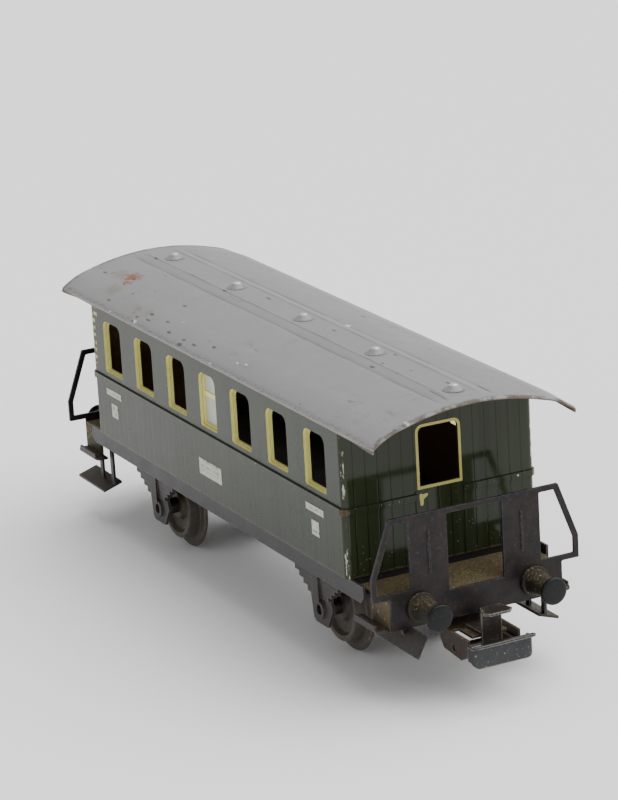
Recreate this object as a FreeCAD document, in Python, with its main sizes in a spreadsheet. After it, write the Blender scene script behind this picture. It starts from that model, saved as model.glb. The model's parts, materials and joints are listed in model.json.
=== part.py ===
import FreeCAD, Part
import math
import os
import re
import Sketcher

# Tinplate passenger coach, gauge 16.5 mm, millimetres.
# +X runs along the coach to its front end, +Y is the left side, +Z is up.
# The origin is the middle of the coach, level with the lowest point of the wheel flanges.

doc = FreeCAD.newDocument("PassengerCoach")
sheet = doc.addObject("Spreadsheet::Sheet", "Sizes")

sizes = {
    # body shell, one folded and pressed sheet of tinplate
    "tin": 0.4,
    "body_length": 85.3,
    "body_width": 30.5,
    "body_bottom": "=floor_top+1.3",
    "body_corner": 0.9,
    "bead_middle": "=body_bottom+9.8",
    "bead_height": 0.9,
    "bead_proud": 0.3,
    # side windows: a pressed tray with an opening in its floor
    "window_width": 6.4,
    "window_low": "=body_bottom+11.15",
    "window_high": "=window_low+8.38",
    "window_pitch": "=body_length*0.138",
    "window_first": "=body_length*0.1294",
    "window_top_round": 1.3,
    "window_low_round": 0.4,
    "window_sink": 0.45,
    "window_band": 0.35,
    "window_top_band": 0.3,
    "toilet_width": 5.5,
    "pane_thick": 0.3,
    "pane_lap": 0.3,
    # end doors
    "door_half": 3.7,
    "door_window_half": 3.15,
    "door_window_low": "=body_bottom+11.25",
    "door_window_high": "=door_window_low+8.55",
    "door_window_round": 0.9,
    "door_window_foot_round": 0.15,
    # roof
    "roof_length": "=body_length+20.1",
    "roof_shift": 0.8,
    "roof_half": "=body_width/2+0.75",
    "roof_lip": "=window_high+1.97",
    "roof_eave": "=roof_lip+0.65",
    "shoulder_y": "=roof_half*0.6875",
    "shoulder_z": "=roof_eave+2.2",
    "shoulder_radius": "=(roof_half-shoulder_y)*2.4",
    "roof_radius": "=shoulder_y*3.909",
    "band_half": 4.05,
    "band_top_half": 2.35,
    "band_top": "=shoulder_z+1.75",
    "vent_shift": 2.7,
    "vent_pitch": "=roof_length*0.2144",
    "vent_radius": 1.65,
    "vent_foot": 0.2,
    "vent_dome": 1.4,
    "vent_rise": 0.9,
    # underframe
    "floor_top": "=2*flange_radius+1.1",
    "floor_thick": 0.4,
    "frame_low": "=floor_top-1.3",
    "frame_half_length": "=body_length/2+3.75",
    "frame_chamfer": 0.8,
    "frame_lap": 0.8,
    # end platform, headstock and railing
    "platform_half": "=body_width/2-1.65",
    "platform_thick": 0.4,
    "platform_gap": 0.1,
    "headstock_face": "=body_length/2+9.45",
    "headstock_low": "=floor_top-3.8",
    "return_low": "=floor_top-4",
    "rail_top": "=floor_top+12.3",
    "rail_top_half": "=body_width/2-1.85",
    "rail_bend_half": "=body_width/2+1.15",
    "rail_bend": "=floor_top+4.2",
    "rail_foot": "=floor_top+0.85",
    "rail_bar": 0.8,
    "gangway_half": 4.35,
    "panel_half": "=platform_half-3.3",
    "rib_width": 0.4,
    "rib_low": "=floor_top+3.6",
    "rib_high": "=floor_top+9.5",
    "rib_proud": 0.2,
    # buffers
    "buffer_y": "=platform_half-4.6",
    "buffer_z": "=floor_top-1.1",
    "buffer_tip": "=headstock_face+5.85",
    "buffer_head_radius": 1.98,
    "buffer_head_thick": 0.75,
    "buffer_dome": 0.2,
    "buffer_face_radius": 1.6,
    "buffer_flat_radius": 0.8,
    "collar_radius": 2.2,
    "collar_thick": 0.6,
    "barrel_radius": 1.8,
    "barrel_tip_radius": 1.3,
    "buffer_tail_radius": 0.8,
    "buffer_tail": 0.9,
    # wheelsets
    "axle_x": "=body_length/2-14.95",
    "flange_radius": 7.1,
    "tread_radius": "=flange_radius-1.67",
    "wheel_face": "=guard_face-2.7",
    "wheel_back": "=wheel_face-2.5",
    "flange_thick": 0.6,
    "flange_round": 0.25,
    "root_fillet": 0.2,
    "tread_draft": 0.12,
    "rim_chamfer": 0.15,
    "rim_inner_radius": "=tread_radius-1.03",
    "rim_draft": 0.25,
    "web_back": "=wheel_face-1.6",
    "web_face": "=wheel_face-1",
    "wheel_hub_radius": 2.2,
    "hub_draft": 0.2,
    "hub_set_back": 0.2,
    "axle_radius": 1.25,
    "journal_radius": 0.75,
    "journal_play": 0.05,
    "journal_set_back": 0.1,
    "end_play": 0.2,
    # axle guards with their leaf springs
    "guard_face": "=body_width/2-3.05",
    "guard_thick": 0.5,
    "guard_low": "=flange_radius-2.3",
    "guard_heel": 2.4,
    "guard_heel_rise": 0.5,
    "guard_foot": 1.8,
    "guard_toe": 3.6,
    "guard_toe_rise": 2.9,
    "guard_waist": 3.1,
    "guard_top_half": 4.6,
    "spring_proud": 0.6,
    "leaf_height": 0.8,
    "leaf_low": "=flange_radius+2.1",
    "leaf_short": 3.2,
    "leaf_step": 1.15,
    "leaf_set_back": 0.05,
    "buckle_half": 0.9,
    "buckle_proud": 0.8,
    "box_radius": 1.35,
    "box_proud": 0.35,
    # steps
    "step_middle": "=headstock_face-3.9",
    "shifted_step_middle": "=headstock_face-8.9",
    "bent_step_middle": "=headstock_face-1.7",
    "step_length": 10.5,
    "bent_step_length": 12.0,
    "step_width": 3.4,
    "step_thick": 0.4,
    "step_round": 0.9,
    "lower_step_y": "=strap_y-1.2",
    "lower_step_z": "=floor_top-7.8",
    "step_tilt": 18.0,
    "bent_step_y": "=strap_y-2.4",
    "bent_step_z": "=floor_top-3.7",
    "bent_step_tilt": 62.0,
    "strap_y": "=platform_half-1.5*tin",
    "strap_width": 1.0,
    "strap_near": "=headstock_face-8.6",
    "strap_far": "=headstock_face-4.3",
    "bent_strap_near": "=headstock_face-4.8",
    "bent_strap_far": "=headstock_face-1.2",
    "upper_step_low": "=headstock_face-8.5",
    "upper_step_high": "=headstock_face-0.6",
    "upper_step_reach": "=platform_half+1.9",
    "upper_step_lip": 0.6,
    # couplers
    "pivot_x": "=headstock_face-12.6",
    "pivot_radius": 1.0,
    "pivot_play": 0.05,
    "pivot_head": 1.9,
    "spacer_radius": 2.4,
    "shank_top": "=floor_top-5.9",
    "shank_rear_half": 2.6,
    "shank_rear_tip": 2.2,
    "shank_flare": 1.6,
    "shank_half": 4.2,
    "shank_wide_from": "=headstock_face-3.8",
    "shank_wide_to": "=headstock_face-0.9",
    "shank_nose": "=headstock_face+2.9",
    "shank_nose_half": 2.8,
    "cheek_front": "=headstock_face+4.1",
    "cheek_low": "=pin_z-1.25",
    "cheek_shoulder": 0.5,
    "cheek_slope": 1.0,
    "cheek_flat": 2.0,
    "cheek_chamfer": 0.4,
    "pin_x": "=headstock_face+0.1",
    "pin_z": "=shank_top-2.25",
    "pin_radius": 0.5,
    "pin_play": 0.05,
    "hook_x": "=headstock_face+3.4",
    "hook_half": 1.6,
    "hook_low": "=shank_top-2",
    "hook_top": "=shank_top+4",
    "hook_reach": "=headstock_face+6.2",
    "hook_front_half": 2.3,
    "hook_chamfer": 0.8,
    "hook_root": "=headstock_face-1.1",
    "loop_face": "=headstock_face+6.4",
    "loop_half": 4.8,
    "loop_low": "=pin_z-1.2",
    "loop_high": "=pin_z+1.8",
    "loop_round": 0.8,
    "loop_return": 1.3,
    "lip_front": "=loop_face+1.5",
    "lip_high": "=pin_z+2.55",
    "lip_edge": 0.2,
    "lip_half": 5.2,
    "arm_middle": 3.4,
    "arm_half_height": 0.95,
}

for row, alias in enumerate(sizes, start=1):
    sheet.set(f"A{row}", alias)
    sheet.setAlias(f"B{row}", alias)
for row, size in enumerate(sizes.values(), start=1):
    sheet.set(f"B{row}", str(size))
doc.recompute()

gauge = doc.addObject("App::FeaturePython", "Gauge")
gauge.addProperty("App::PropertyFloat", "Reading")

ends = {"front": 1, "rear": -1}
sides = {"left": 1, "right": -1}
leaves = 5
dome_facets = ("0", "30", "60")  # degrees up the dome
plane_roles = {"XY": "XY_Plane", "XZ": "XZ_Plane", "YZ": "YZ_Plane"}
slack = 1.0  # how far a through cut runs past the metal
bodies = []


def sheet_words(text):
    """Write sheet names in an expression the way the document reads them."""
    return re.sub(r"\b([a-z]\w*)\b(?!\()", r"Sizes.\1", str(text))


def reading(text):
    """Present value of an expression in sheet names."""
    gauge.setExpression("Reading", sheet_words(text))
    gauge.recompute()
    return gauge.Reading


def bind(item, **expressions):
    for name, text in expressions.items():
        item.setExpression(name, sheet_words(text))


def new_body(label):
    body = doc.addObject("PartDesign::Body", label)
    body.Label = label
    bodies.append(body)
    return body


def new_sketch(body, name, plane, at):
    """Empty sketch on one of the body's own planes, moved to the point at = (x, y, z)."""
    sketch = body.newObject("Sketcher::SketchObject", name)
    role = plane_roles[plane]
    base = [item for item in body.Origin.OriginFeatures if item.Role == role][0]
    sketch.AttachmentSupport = [(base, "")]
    sketch.MapMode = "FlatFace"
    local = {"XY": (at[0], at[1], at[2]),
             "XZ": (at[0], at[2], f"-({at[1]})"),
             "YZ": (at[1], at[2], at[0])}[plane]
    for axis, text in zip("xyz", local):
        sketch.setExpression(f"AttachmentOffset.Base.{axis}", sheet_words(text))
    return sketch


def bulge_point(start, end, radius, way):
    """Middle of the arc from start to end. It lies right of the way from start to end if way is 1."""
    dx, dy = end[0] - start[0], end[1] - start[1]
    chord = math.hypot(dx, dy)
    rise = radius - math.sqrt(max(radius * radius - chord * chord / 4, 0))
    return ((start[0] + end[0]) / 2 + way * rise * dy / chord,
            (start[1] + end[1]) / 2 - way * rise * dx / chord)


def constrain(sketch, rules):
    """Add the constraints, then tie each one that has an expression to the sheet."""
    first = sketch.ConstraintCount
    sketch.addConstraint([rule for rule, text in rules])
    for i, (rule, text) in enumerate(rules):
        if text is not None:
            sketch.setExpression(f"Constraints[{first + i}]", sheet_words(text))


def draw(sketch, corners):
    """Closed outline. A corner is (x, y), or (x, y, radius) where an arc leads on to the next.

    The arc swells outwards, or inwards if its radius is negative."""
    points = [(reading(corner[0]), reading(corner[1])) for corner in corners]
    count = len(points)
    area = sum(points[i][0] * points[(i + 1) % count][1] - points[(i + 1) % count][0] * points[i][1]
               for i in range(count))
    turn = math.copysign(1, area)
    first = sketch.GeometryCount
    shapes = []
    tips = []
    for i, corner in enumerate(corners):
        start, end = points[i], points[(i + 1) % count]
        a, b = FreeCAD.Vector(*start, 0), FreeCAD.Vector(*end, 0)
        tips.append((1, 2))
        if len(corner) == 2:
            shapes.append(Part.LineSegment(a, b))
            continue
        radius = reading(corner[2])
        way = turn * math.copysign(1, radius)
        middle = FreeCAD.Vector(*bulge_point(start, end, abs(radius), way), 0)
        if way > 0:
            shapes.append(Part.Arc(a, middle, b))
        else:
            shapes.append(Part.Arc(b, middle, a))
            tips[i] = (2, 1)
    sketch.addGeometry(shapes, False)
    rules = []
    for i, corner in enumerate(corners):
        after = (i + 1) % count
        rules.append((Sketcher.Constraint("Coincident", first + i, tips[i][1],
                                          first + after, tips[after][0]), None))
        for kind, text, number in (("DistanceX", corner[0], points[i][0]),
                                   ("DistanceY", corner[1], points[i][1])):
            rules.append((Sketcher.Constraint(kind, -1, 1, first + i, tips[i][0], number), text))
        if len(corner) == 3:
            rules.append((Sketcher.Constraint("Radius", first + i, abs(reading(corner[2]))),
                          f"abs({corner[2]})"))
    constrain(sketch, rules)


def ring(sketch, x, y, radius):
    """Full circle at (x, y)."""
    centre = FreeCAD.Vector(reading(x), reading(y), 0)
    index = sketch.addGeometry(Part.Circle(centre, FreeCAD.Vector(0, 0, 1), reading(radius)), False)
    constrain(sketch, [(Sketcher.Constraint("DistanceX", -1, 1, index, 3, centre.x), x),
                       (Sketcher.Constraint("DistanceY", -1, 1, index, 3, centre.y), y),
                       (Sketcher.Constraint("Radius", index, reading(radius)), radius)])


def rounded(x0, x1, y0, y1, low, high):
    """Corners of a rectangle with one radius below and another above."""
    return [(f"{x0}+({low})", y0), (f"{x1}-({low})", y0, low),
            (x1, f"{y0}+({low})"), (x1, f"{y1}-({high})", high),
            (f"{x1}-({high})", y1), (f"{x0}+({high})", y1, high),
            (x0, f"{y1}-({high})"), (x0, f"{y0}+({low})", low)]


def box(x0, x1, y0, y1):
    return [(x0, y0), (x1, y0), (x1, y1), (x0, y1)]


def slab(body, name, plane, middle, thick, outlines=(), circles=(), cut=False):
    """Sheet of metal, or a cut of the same form, centred on a plane across its own axis."""
    at = {"XY": ("0", "0", middle), "XZ": ("0", middle, "0"), "YZ": (middle, "0", "0")}[plane]
    sketch = new_sketch(body, f"{name}_outline", plane, at)
    for outline in outlines:
        draw(sketch, outline)
    for circle in circles:
        ring(sketch, *circle)
    doc.recompute()
    before = body.Shape.Volume if body.Tip else 0
    feature = body.newObject("PartDesign::Pocket" if cut else "PartDesign::Pad", name)
    feature.Profile = sketch
    feature.Midplane = True
    bind(feature, Length=thick)
    doc.recompute()
    change = body.Shape.Volume - before
    if cut == (change > 0) or abs(change) < 1e-6:
        raise RuntimeError(f"{body.Label}: {name} changed the volume by {change}")
    return feature


def turned(body, name, plane, at, axis, outline):
    """Solid turned about the sketch's horizontal (H_Axis) or vertical (V_Axis) axis."""
    sketch = new_sketch(body, f"{name}_outline", plane, at)
    draw(sketch, outline)
    doc.recompute()
    feature = body.newObject("PartDesign::Revolution", name)
    feature.Profile = sketch
    feature.ReferenceAxis = (sketch, [axis])
    feature.Angle = 360
    doc.recompute()
    return feature


def window_spans():
    """Middle and half width of each side window, front to rear."""
    spans = [("0", "toilet_width/2")]
    for end in ends.values():
        for place in range(3):
            spans.append((f"{end}*(window_first+{place}*window_pitch)", "window_width/2"))
    return spans


def window_outlines(grow, sink_top):
    """The side windows' outlines, grown all round and lowered at the top."""
    return [rounded(f"{middle}-({half})-({grow})", f"{middle}+({half})+({grow})",
                    f"window_low-({grow})", f"window_high+({sink_top})",
                    "window_low_round", "window_top_round") for middle, half in window_spans()]


def roof_corners(inset):
    """Eave and shoulder of the roof section, set in by the same amount."""
    return (f"(roof_half-{inset})", f"(roof_eave-{inset}/2)"), (f"(shoulder_y-{inset}/4)",
                                                               f"(shoulder_z-{inset})")


def roof_outline(inset):
    """Section of the roof: lip, shoulder arc, crown arc and back."""
    (edge, eave), (turn_y, turn_z) = roof_corners(inset)
    low = f"roof_lip-{inset}"
    return [(f"-{edge}", low), (edge, low), (edge, eave, f"shoulder_radius-{inset}"),
            (turn_y, turn_z, f"roof_radius-{inset}"),
            (f"-{turn_y}", turn_z, f"shoulder_radius-{inset}"), (f"-{edge}", eave)]


def above_roof_outline():
    """The space above the underside of the roof, which trims the walls to meet it."""
    (edge, eave), (turn_y, turn_z) = roof_corners("tin")
    high = f"band_top+{slack}"
    return [(f"-{edge}", eave, "-(shoulder_radius-tin)"), (f"-{turn_y}", turn_z, "-(roof_radius-tin)"),
            (turn_y, turn_z, "-(shoulder_radius-tin)"), (edge, eave), (edge, high), (f"-{edge}", high)]


def make_body_shell():
    body = new_body("body_shell")
    half, across = "body_length/2", "body_width/2"
    middle, tall = "(body_bottom+band_top)/2", "band_top-body_bottom"
    corner = "body_corner"
    slab(body, "block", "XY", middle, tall,
         [rounded(f"-{half}", half, f"-{across}", across, corner, corner)])
    grown = "(body_corner+bead_proud)"
    slab(body, "waist_bead", "XY", "bead_middle", "bead_height",
         [rounded(f"-{half}-bead_proud", f"{half}+bead_proud", f"-{across}-bead_proud",
                  f"{across}+bead_proud", grown, grown)])
    inner = "(body_corner-tin)"
    slab(body, "inside", "XY", middle, f"{tall}+{slack}",
         [rounded(f"-{half}+tin", f"{half}-tin", f"-{across}+tin", f"{across}-tin", inner, inner)],
         cut=True)
    slab(body, "roof_line", "YZ", "0", f"body_length+{slack}", [above_roof_outline()], cut=True)
    for name, end in ends.items():
        slab(body, f"bead_gap_{name}", "YZ", f"{end}*({half}+bead_proud)", "2*bead_proud",
             [box("-door_half", "door_half", "bead_middle-bead_height", "bead_middle+bead_height")],
             cut=True)
    for name, side in sides.items():
        slab(body, f"trays_{name}", "XZ", f"{side}*({across}-(window_sink+tin)/2)", "window_sink+tin",
             window_outlines("tin", "tin"))
        slab(body, f"sinks_{name}", "XZ", f"{side}*({across}-window_sink/2+{slack}/2)",
             f"window_sink+{slack}", window_outlines("0", "0"), cut=True)
        slab(body, f"openings_{name}", "XZ", f"{side}*({across})", f"2*(window_sink+tin)+{slack}",
             window_outlines("-window_band", "-window_top_band"), cut=True)
    slab(body, "door_windows", "YZ", "0", f"body_length+{slack}",
         [rounded("-door_window_half", "door_window_half", "door_window_low", "door_window_high",
                  "door_window_foot_round", "door_window_round")], cut=True)


def make_toilet_pane(name, side):
    body = new_body(f"toilet_pane_{name}")
    half = "(toilet_width/2-window_band+pane_lap)"
    slab(body, "pane", "XZ", f"{side}*(body_width/2-window_sink-tin-pane_thick/2)", "pane_thick",
         [box(f"-{half}", half, "window_low+window_band-pane_lap", "window_high")])


def make_roof():
    body = new_body("roof")
    slab(body, "vault", "YZ", "roof_shift", "roof_length", [roof_outline("0")])
    slab(body, "raised_band", "YZ", "roof_shift", "roof_length",
         [[("-band_half", "shoulder_z"), ("band_half", "shoulder_z"), ("band_half", "band_top-tin"),
           ("band_top_half", "band_top"), ("-band_top_half", "band_top"),
           ("-band_half", "band_top-tin")]])
    slab(body, "hollow", "YZ", "roof_shift", f"roof_length+{slack}", [roof_outline("tin")], cut=True)


def make_roof_vent(number, place):
    body = new_body(f"roof_vent_{number}")
    dome = [(f"vent_dome*cos({angle})", f"vent_foot+vent_rise*sin({angle})") for angle in dome_facets]
    turned(body, "dome", "XZ", (f"vent_shift+{place}*vent_pitch", "0", "band_top"), "V_Axis",
           [("0", "0"), ("vent_radius", "0"), ("vent_radius", "vent_foot")] + dome
           + [("0", "vent_foot+vent_rise")])


def make_underframe():
    body = new_body("underframe")
    across = "(body_width/2-tin)"
    slab(body, "floor", "XY", "floor_top-floor_thick/2", "floor_thick",
         [box("-frame_half_length", "frame_half_length", f"-{across}", across)])
    lap_x = "(body_length/2-body_corner)"
    lap_z = "(body_bottom+frame_lap)"
    reach, bevel = "frame_half_length", "frame_chamfer"
    half_frame = [(f"{reach}-{bevel}", "frame_low"), (reach, f"frame_low+{bevel}"),
                  (reach, "body_bottom"), (lap_x, "body_bottom"), (lap_x, lap_z)]
    mirrored = [(f"-({x})", z) for x, z in reversed(half_frame)]
    for name, side in sides.items():
        slab(body, f"side_{name}", "XZ", f"{side}*({across}-tin/2)", "tin", [half_frame + mirrored])
    for name, end in ends.items():
        slab(body, f"upstand_{name}", "YZ", f"{end}*(body_length/2-1.5*tin)", "tin",
             [box(f"-{across}+body_corner", f"{across}-body_corner", "floor_top-floor_thick/2", lap_z)])


def make_end_platform(name, end):
    body = new_body(f"end_platform_{name}")
    back = "body_length/2"
    front = "(headstock_face-tin)"
    half, thick = "platform_half", "platform_thick"
    slab(body, "deck", "XY", f"floor_top+{thick}/2", thick,
         [box(f"{end}*({back})", f"{end}*{front}", f"-{half}", half)])
    for side_name, side in sides.items():
        slab(body, f"return_{side_name}", "XZ", f"{side}*({half}-tin/2)", "tin",
             [box(f"{end}*(frame_half_length+platform_gap)", f"{end}*{front}",
                  "return_low", f"floor_top+{thick}/2")])


def make_end_railing(name, end):
    body = new_body(f"end_railing_{name}")
    middle = f"{end}*(headstock_face-tin/2)"
    slab(body, "headstock", "YZ", middle, "tin",
         [box("-platform_half", "platform_half", "headstock_low", "rail_foot")],
         [(f"{side}*buffer_y", "buffer_z", "buffer_tail_radius") for side in sides.values()])
    slab(body, "frame", "YZ", middle, "tin",
         [[("-rail_bend_half", "rail_foot"), ("rail_bend_half", "rail_foot"),
           ("rail_bend_half", "rail_bend"), ("rail_top_half", "rail_top"),
           ("-rail_top_half", "rail_top"), ("-rail_bend_half", "rail_bend")]])
    bar = "rail_bar"
    for side_name, side in sides.items():
        slab(body, f"bay_{side_name}", "YZ", middle, f"tin+{slack}",
             [[(f"{side}*panel_half", f"rail_foot+{bar}"),
               (f"{side}*(rail_bend_half-{bar})", f"rail_foot+{bar}"),
               (f"{side}*(rail_bend_half-{bar})", f"rail_bend-{bar}/4"),
               (f"{side}*(rail_top_half-{bar}*3/4)", f"rail_top-{bar}"),
               (f"{side}*panel_half", f"rail_top-{bar}")]], cut=True)
    slab(body, "gangway", "YZ", middle, f"tin+{slack}",
         [box("-gangway_half", "gangway_half", "floor_top+platform_thick", f"rail_top-{bar}")], cut=True)
    for side_name, side in sides.items():
        rib = f"{side}*(gangway_half+panel_half)/2"
        slab(body, f"rib_{side_name}", "YZ", f"{end}*headstock_face", "2*rib_proud",
             [box(f"{rib}-rib_width/2", f"{rib}+rib_width/2", "rib_low", "rib_high")])


def make_buffer(end_name, end, side_name, side):
    body = new_body(f"buffer_{end_name}_{side_name}")
    face, tip = "headstock_face", "buffer_tip"
    back = f"({tip}-buffer_head_thick)"
    half_section = [(f"{face}-buffer_tail", "0"), (f"{face}-buffer_tail", "buffer_tail_radius"),
                    (face, "buffer_tail_radius"), (face, "collar_radius"),
                    (f"{face}+collar_thick", "collar_radius"), (f"{face}+collar_thick", "barrel_radius"),
                    (back, "barrel_tip_radius"), (back, "buffer_head_radius"),
                    (f"{tip}-buffer_dome", "buffer_head_radius"),
                    (f"{tip}-buffer_dome/3", "buffer_face_radius"),
                    (tip, "buffer_flat_radius"), (tip, "0")]
    turned(body, "buffer", "XY", ("0", f"{side}*buffer_y", "buffer_z"), "H_Axis",
           [(f"{end}*({corner[0]})",) + corner[1:] for corner in half_section])


def make_axle_guard(end_name, end, side_name, side):
    body = new_body(f"axle_guard_{end_name}_{side_name}")
    axle, level = f"{end}*axle_x", "flange_radius"
    top = "floor_top-floor_thick"
    plate = [("-guard_heel", "guard_low+guard_heel_rise"), ("-guard_foot", "guard_low"),
             ("guard_foot", "guard_low"), ("guard_toe", "guard_low+guard_toe_rise"),
             ("guard_waist", "leaf_low"), ("guard_top_half", top), ("-guard_top_half", top),
             ("-guard_waist", "leaf_low")]
    slab(body, "plate", "XZ", f"{side}*(guard_face-guard_thick/2)", "guard_thick",
         [[(f"{axle}+({x})", z) for x, z in plate]])
    for leaf in range(leaves):
        length = f"(leaf_short+{leaf}*leaf_step)"
        low = f"leaf_low+{leaf}*leaf_height"
        proud = f"(spring_proud-{leaves - 1 - leaf}*leaf_set_back)"
        slab(body, f"leaf_{leaf + 1}", "XZ", f"{side}*(guard_face-guard_thick/2+{proud}/2)",
             f"guard_thick+{proud}",
             [box(f"{axle}-{length}", f"{axle}+{length}", low, f"{low}+leaf_height")])
    slab(body, "buckle", "XZ", f"{side}*(guard_face+buckle_proud/2)", "buckle_proud",
         [box(f"{axle}-buckle_half", f"{axle}+buckle_half", f"{level}+box_radius", top)])
    slab(body, "axle_box", "XZ", f"{side}*(guard_face+box_proud/2)", "box_proud",
         circles=[(axle, level, "box_radius")])
    slab(body, "bearing", "XZ", f"{side}*guard_face", f"2*guard_thick+{slack}",
         circles=[(axle, level, "journal_radius+journal_play")], cut=True)


def make_upper_step(end_name, end, side_name, side):
    body = new_body(f"upper_step_{end_name}_{side_name}")
    near, far, reach = f"{end}*upper_step_low", f"{end}*upper_step_high", f"{side}*upper_step_reach"
    root = f"{side}*platform_half"
    turn = f"{side}*(upper_step_reach-step_round)"
    slab(body, "board", "XY", "return_low+step_thick/2", "step_thick",
         [[(near, root), (far, root), (far, turn, "step_round"),
           (f"{end}*(upper_step_high-step_round)", reach),
           (f"{end}*(upper_step_low+step_round)", reach, "step_round"), (near, turn)]])
    slab(body, "lip", "XZ", f"{side}*(upper_step_reach-step_thick/2)", "step_thick",
         [box(f"{end}*(upper_step_low+step_round)", f"{end}*(upper_step_high-step_round)",
              "return_low+step_thick/2", "return_low+step_thick+upper_step_lip")])


def make_lower_step(end_name, end, side_name, side, middle, length, edge_y, edge_z, tilt, straps):
    """Board hung on two straps. Its inner edge is at (edge_y, edge_z); tilt lowers the outer edge."""
    body = new_body(f"lower_step_{end_name}_{side_name}")
    along, down = f"cos({tilt})", f"sin({tilt})"
    outer_y, outer_z = f"{edge_y}+step_width*{along}", f"{edge_z}-step_width*{down}"
    under_y, under_z = f"step_thick*{down}", f"step_thick*{along}"
    slab(body, "board", "YZ", f"{end}*{middle}", length,
         [[(f"{side}*({edge_y})", edge_z), (f"{side}*({outer_y})", outer_z),
           (f"{side}*({outer_y}-{under_y})", f"{outer_z}-{under_z}"),
           (f"{side}*({edge_y}-{under_y})", f"{edge_z}-{under_z}")]])
    foot_y = f"({edge_y}+(strap_y-lower_step_y)*{along})"
    foot_z = f"({edge_z}-(strap_y-lower_step_y)*{down}-step_thick/2)"
    half = "tin/2"
    for name, (place, top) in straps.items():
        slab(body, f"strap_{name}", "YZ", f"{end}*{place}", "strap_width",
             [[(f"{side}*(strap_y-{half})", top), (f"{side}*(strap_y+{half})", top),
               (f"{side}*({foot_y}+{half})", foot_z), (f"{side}*({foot_y}-{half})", foot_z)]])


def make_axle(name, end):
    body = new_body(f"axle_{name}")
    shoulder = "guard_face-guard_thick-end_play"
    tip = "guard_face-journal_set_back"
    turned(body, "axle", "XY", (f"{end}*axle_x", "0", "flange_radius"), "V_Axis",
           [("0", f"-({tip})"), ("journal_radius", f"-({tip})"), ("journal_radius", f"-({shoulder})"),
            ("axle_radius", f"-({shoulder})"), ("axle_radius", shoulder),
            ("journal_radius", shoulder), ("journal_radius", tip), ("0", tip)])


def make_wheel(end_name, end, side_name, side):
    body = new_body(f"wheel_{end_name}_{side_name}")
    back, face = "wheel_back", "wheel_face"
    section = [("axle_radius", back), ("wheel_hub_radius", back), ("wheel_hub_radius", "web_back"),
               ("rim_inner_radius", "web_back"), ("rim_inner_radius", back),
               ("flange_radius-flange_round", back), ("flange_radius", f"{back}+flange_thick/2"),
               ("flange_radius-flange_round", f"{back}+flange_thick"),
               ("tread_radius+root_fillet", f"{back}+flange_thick"),
               ("tread_radius", f"{back}+flange_thick+root_fillet"),
               ("tread_radius-tread_draft", f"{face}-rim_chamfer"),
               ("tread_radius-2*rim_chamfer", face), ("rim_inner_radius+tread_draft", face),
               ("rim_inner_radius-rim_draft", "web_face"), ("wheel_hub_radius+hub_draft", "web_face"),
               ("wheel_hub_radius-hub_draft/2", f"{face}-hub_set_back"),
               ("axle_radius", f"{face}-hub_set_back")]
    turned(body, "wheel", "XY", (f"{end}*axle_x", "0", "flange_radius"), "V_Axis",
           [(radius, f"{side}*({place})") for radius, place in section])


def make_coupler_pivot(name, end):
    body = new_body(f"coupler_pivot_{name}")
    plate_low = "(shank_top-tin)"
    turned(body, "rivet", "XZ", (f"{end}*pivot_x", "0", "0"), "V_Axis",
           [("0", f"{plate_low}-pivot_play-tin"), ("pivot_head", f"{plate_low}-pivot_play-tin"),
            ("pivot_head", f"{plate_low}-pivot_play"), ("pivot_radius", f"{plate_low}-pivot_play"),
            ("pivot_radius", "shank_top+pivot_play"), ("spacer_radius", "shank_top+pivot_play"),
            ("spacer_radius", "floor_top-floor_thick"), ("0", "floor_top-floor_thick")])


def make_coupler_shank(name, end):
    body = new_body(f"coupler_shank_{name}")
    half_plate = [("pivot_x-shank_rear_half/2", "shank_rear_tip"),
                  ("pivot_x+shank_rear_half", "shank_rear_half"),
                  ("shank_wide_from-shank_flare", "shank_rear_half"), ("shank_wide_from", "shank_half"),
                  ("shank_wide_to", "shank_half"), ("shank_wide_to", "shank_nose_half"),
                  ("shank_nose", "shank_nose_half")]
    rear = [("pivot_x-shank_rear_half", "-shank_rear_half/2"),
            ("pivot_x-shank_rear_half", "shank_rear_half/2")]
    mirrored = [(x, f"-({y})") for x, y in reversed(half_plate)]
    slab(body, "plate", "XY", "shank_top-tin/2", "tin",
         [[(f"{end}*({x})", y) for x, y in rear + half_plate + mirrored]])
    for side_name, side in sides.items():
        cheek = [("shank_wide_from", "shank_top"), ("shank_wide_from", "pin_z+cheek_shoulder"),
                 ("shank_wide_from+cheek_slope", "cheek_low+cheek_chamfer"),
                 ("cheek_front-cheek_flat", "cheek_low"),
                 ("cheek_front-cheek_chamfer", "cheek_low+2*cheek_chamfer"),
                 ("cheek_front", "cheek_low+4*cheek_chamfer"), ("cheek_front", "shank_top")]
        slab(body, f"cheek_{side_name}", "XZ", f"{side}*(shank_half-tin/2)", "tin",
             [[(f"{end}*({x})", z) for x, z in cheek]])
    slab(body, "pivot_hole", "XY", "shank_top-tin/2", f"tin+{slack}",
         circles=[(f"{end}*pivot_x", "0", "pivot_radius+pivot_play")], cut=True)
    slab(body, "pin_holes", "XZ", "0", f"2*shank_half+{slack}",
         circles=[(f"{end}*pin_x", "pin_z", "pin_radius")], cut=True)


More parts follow.
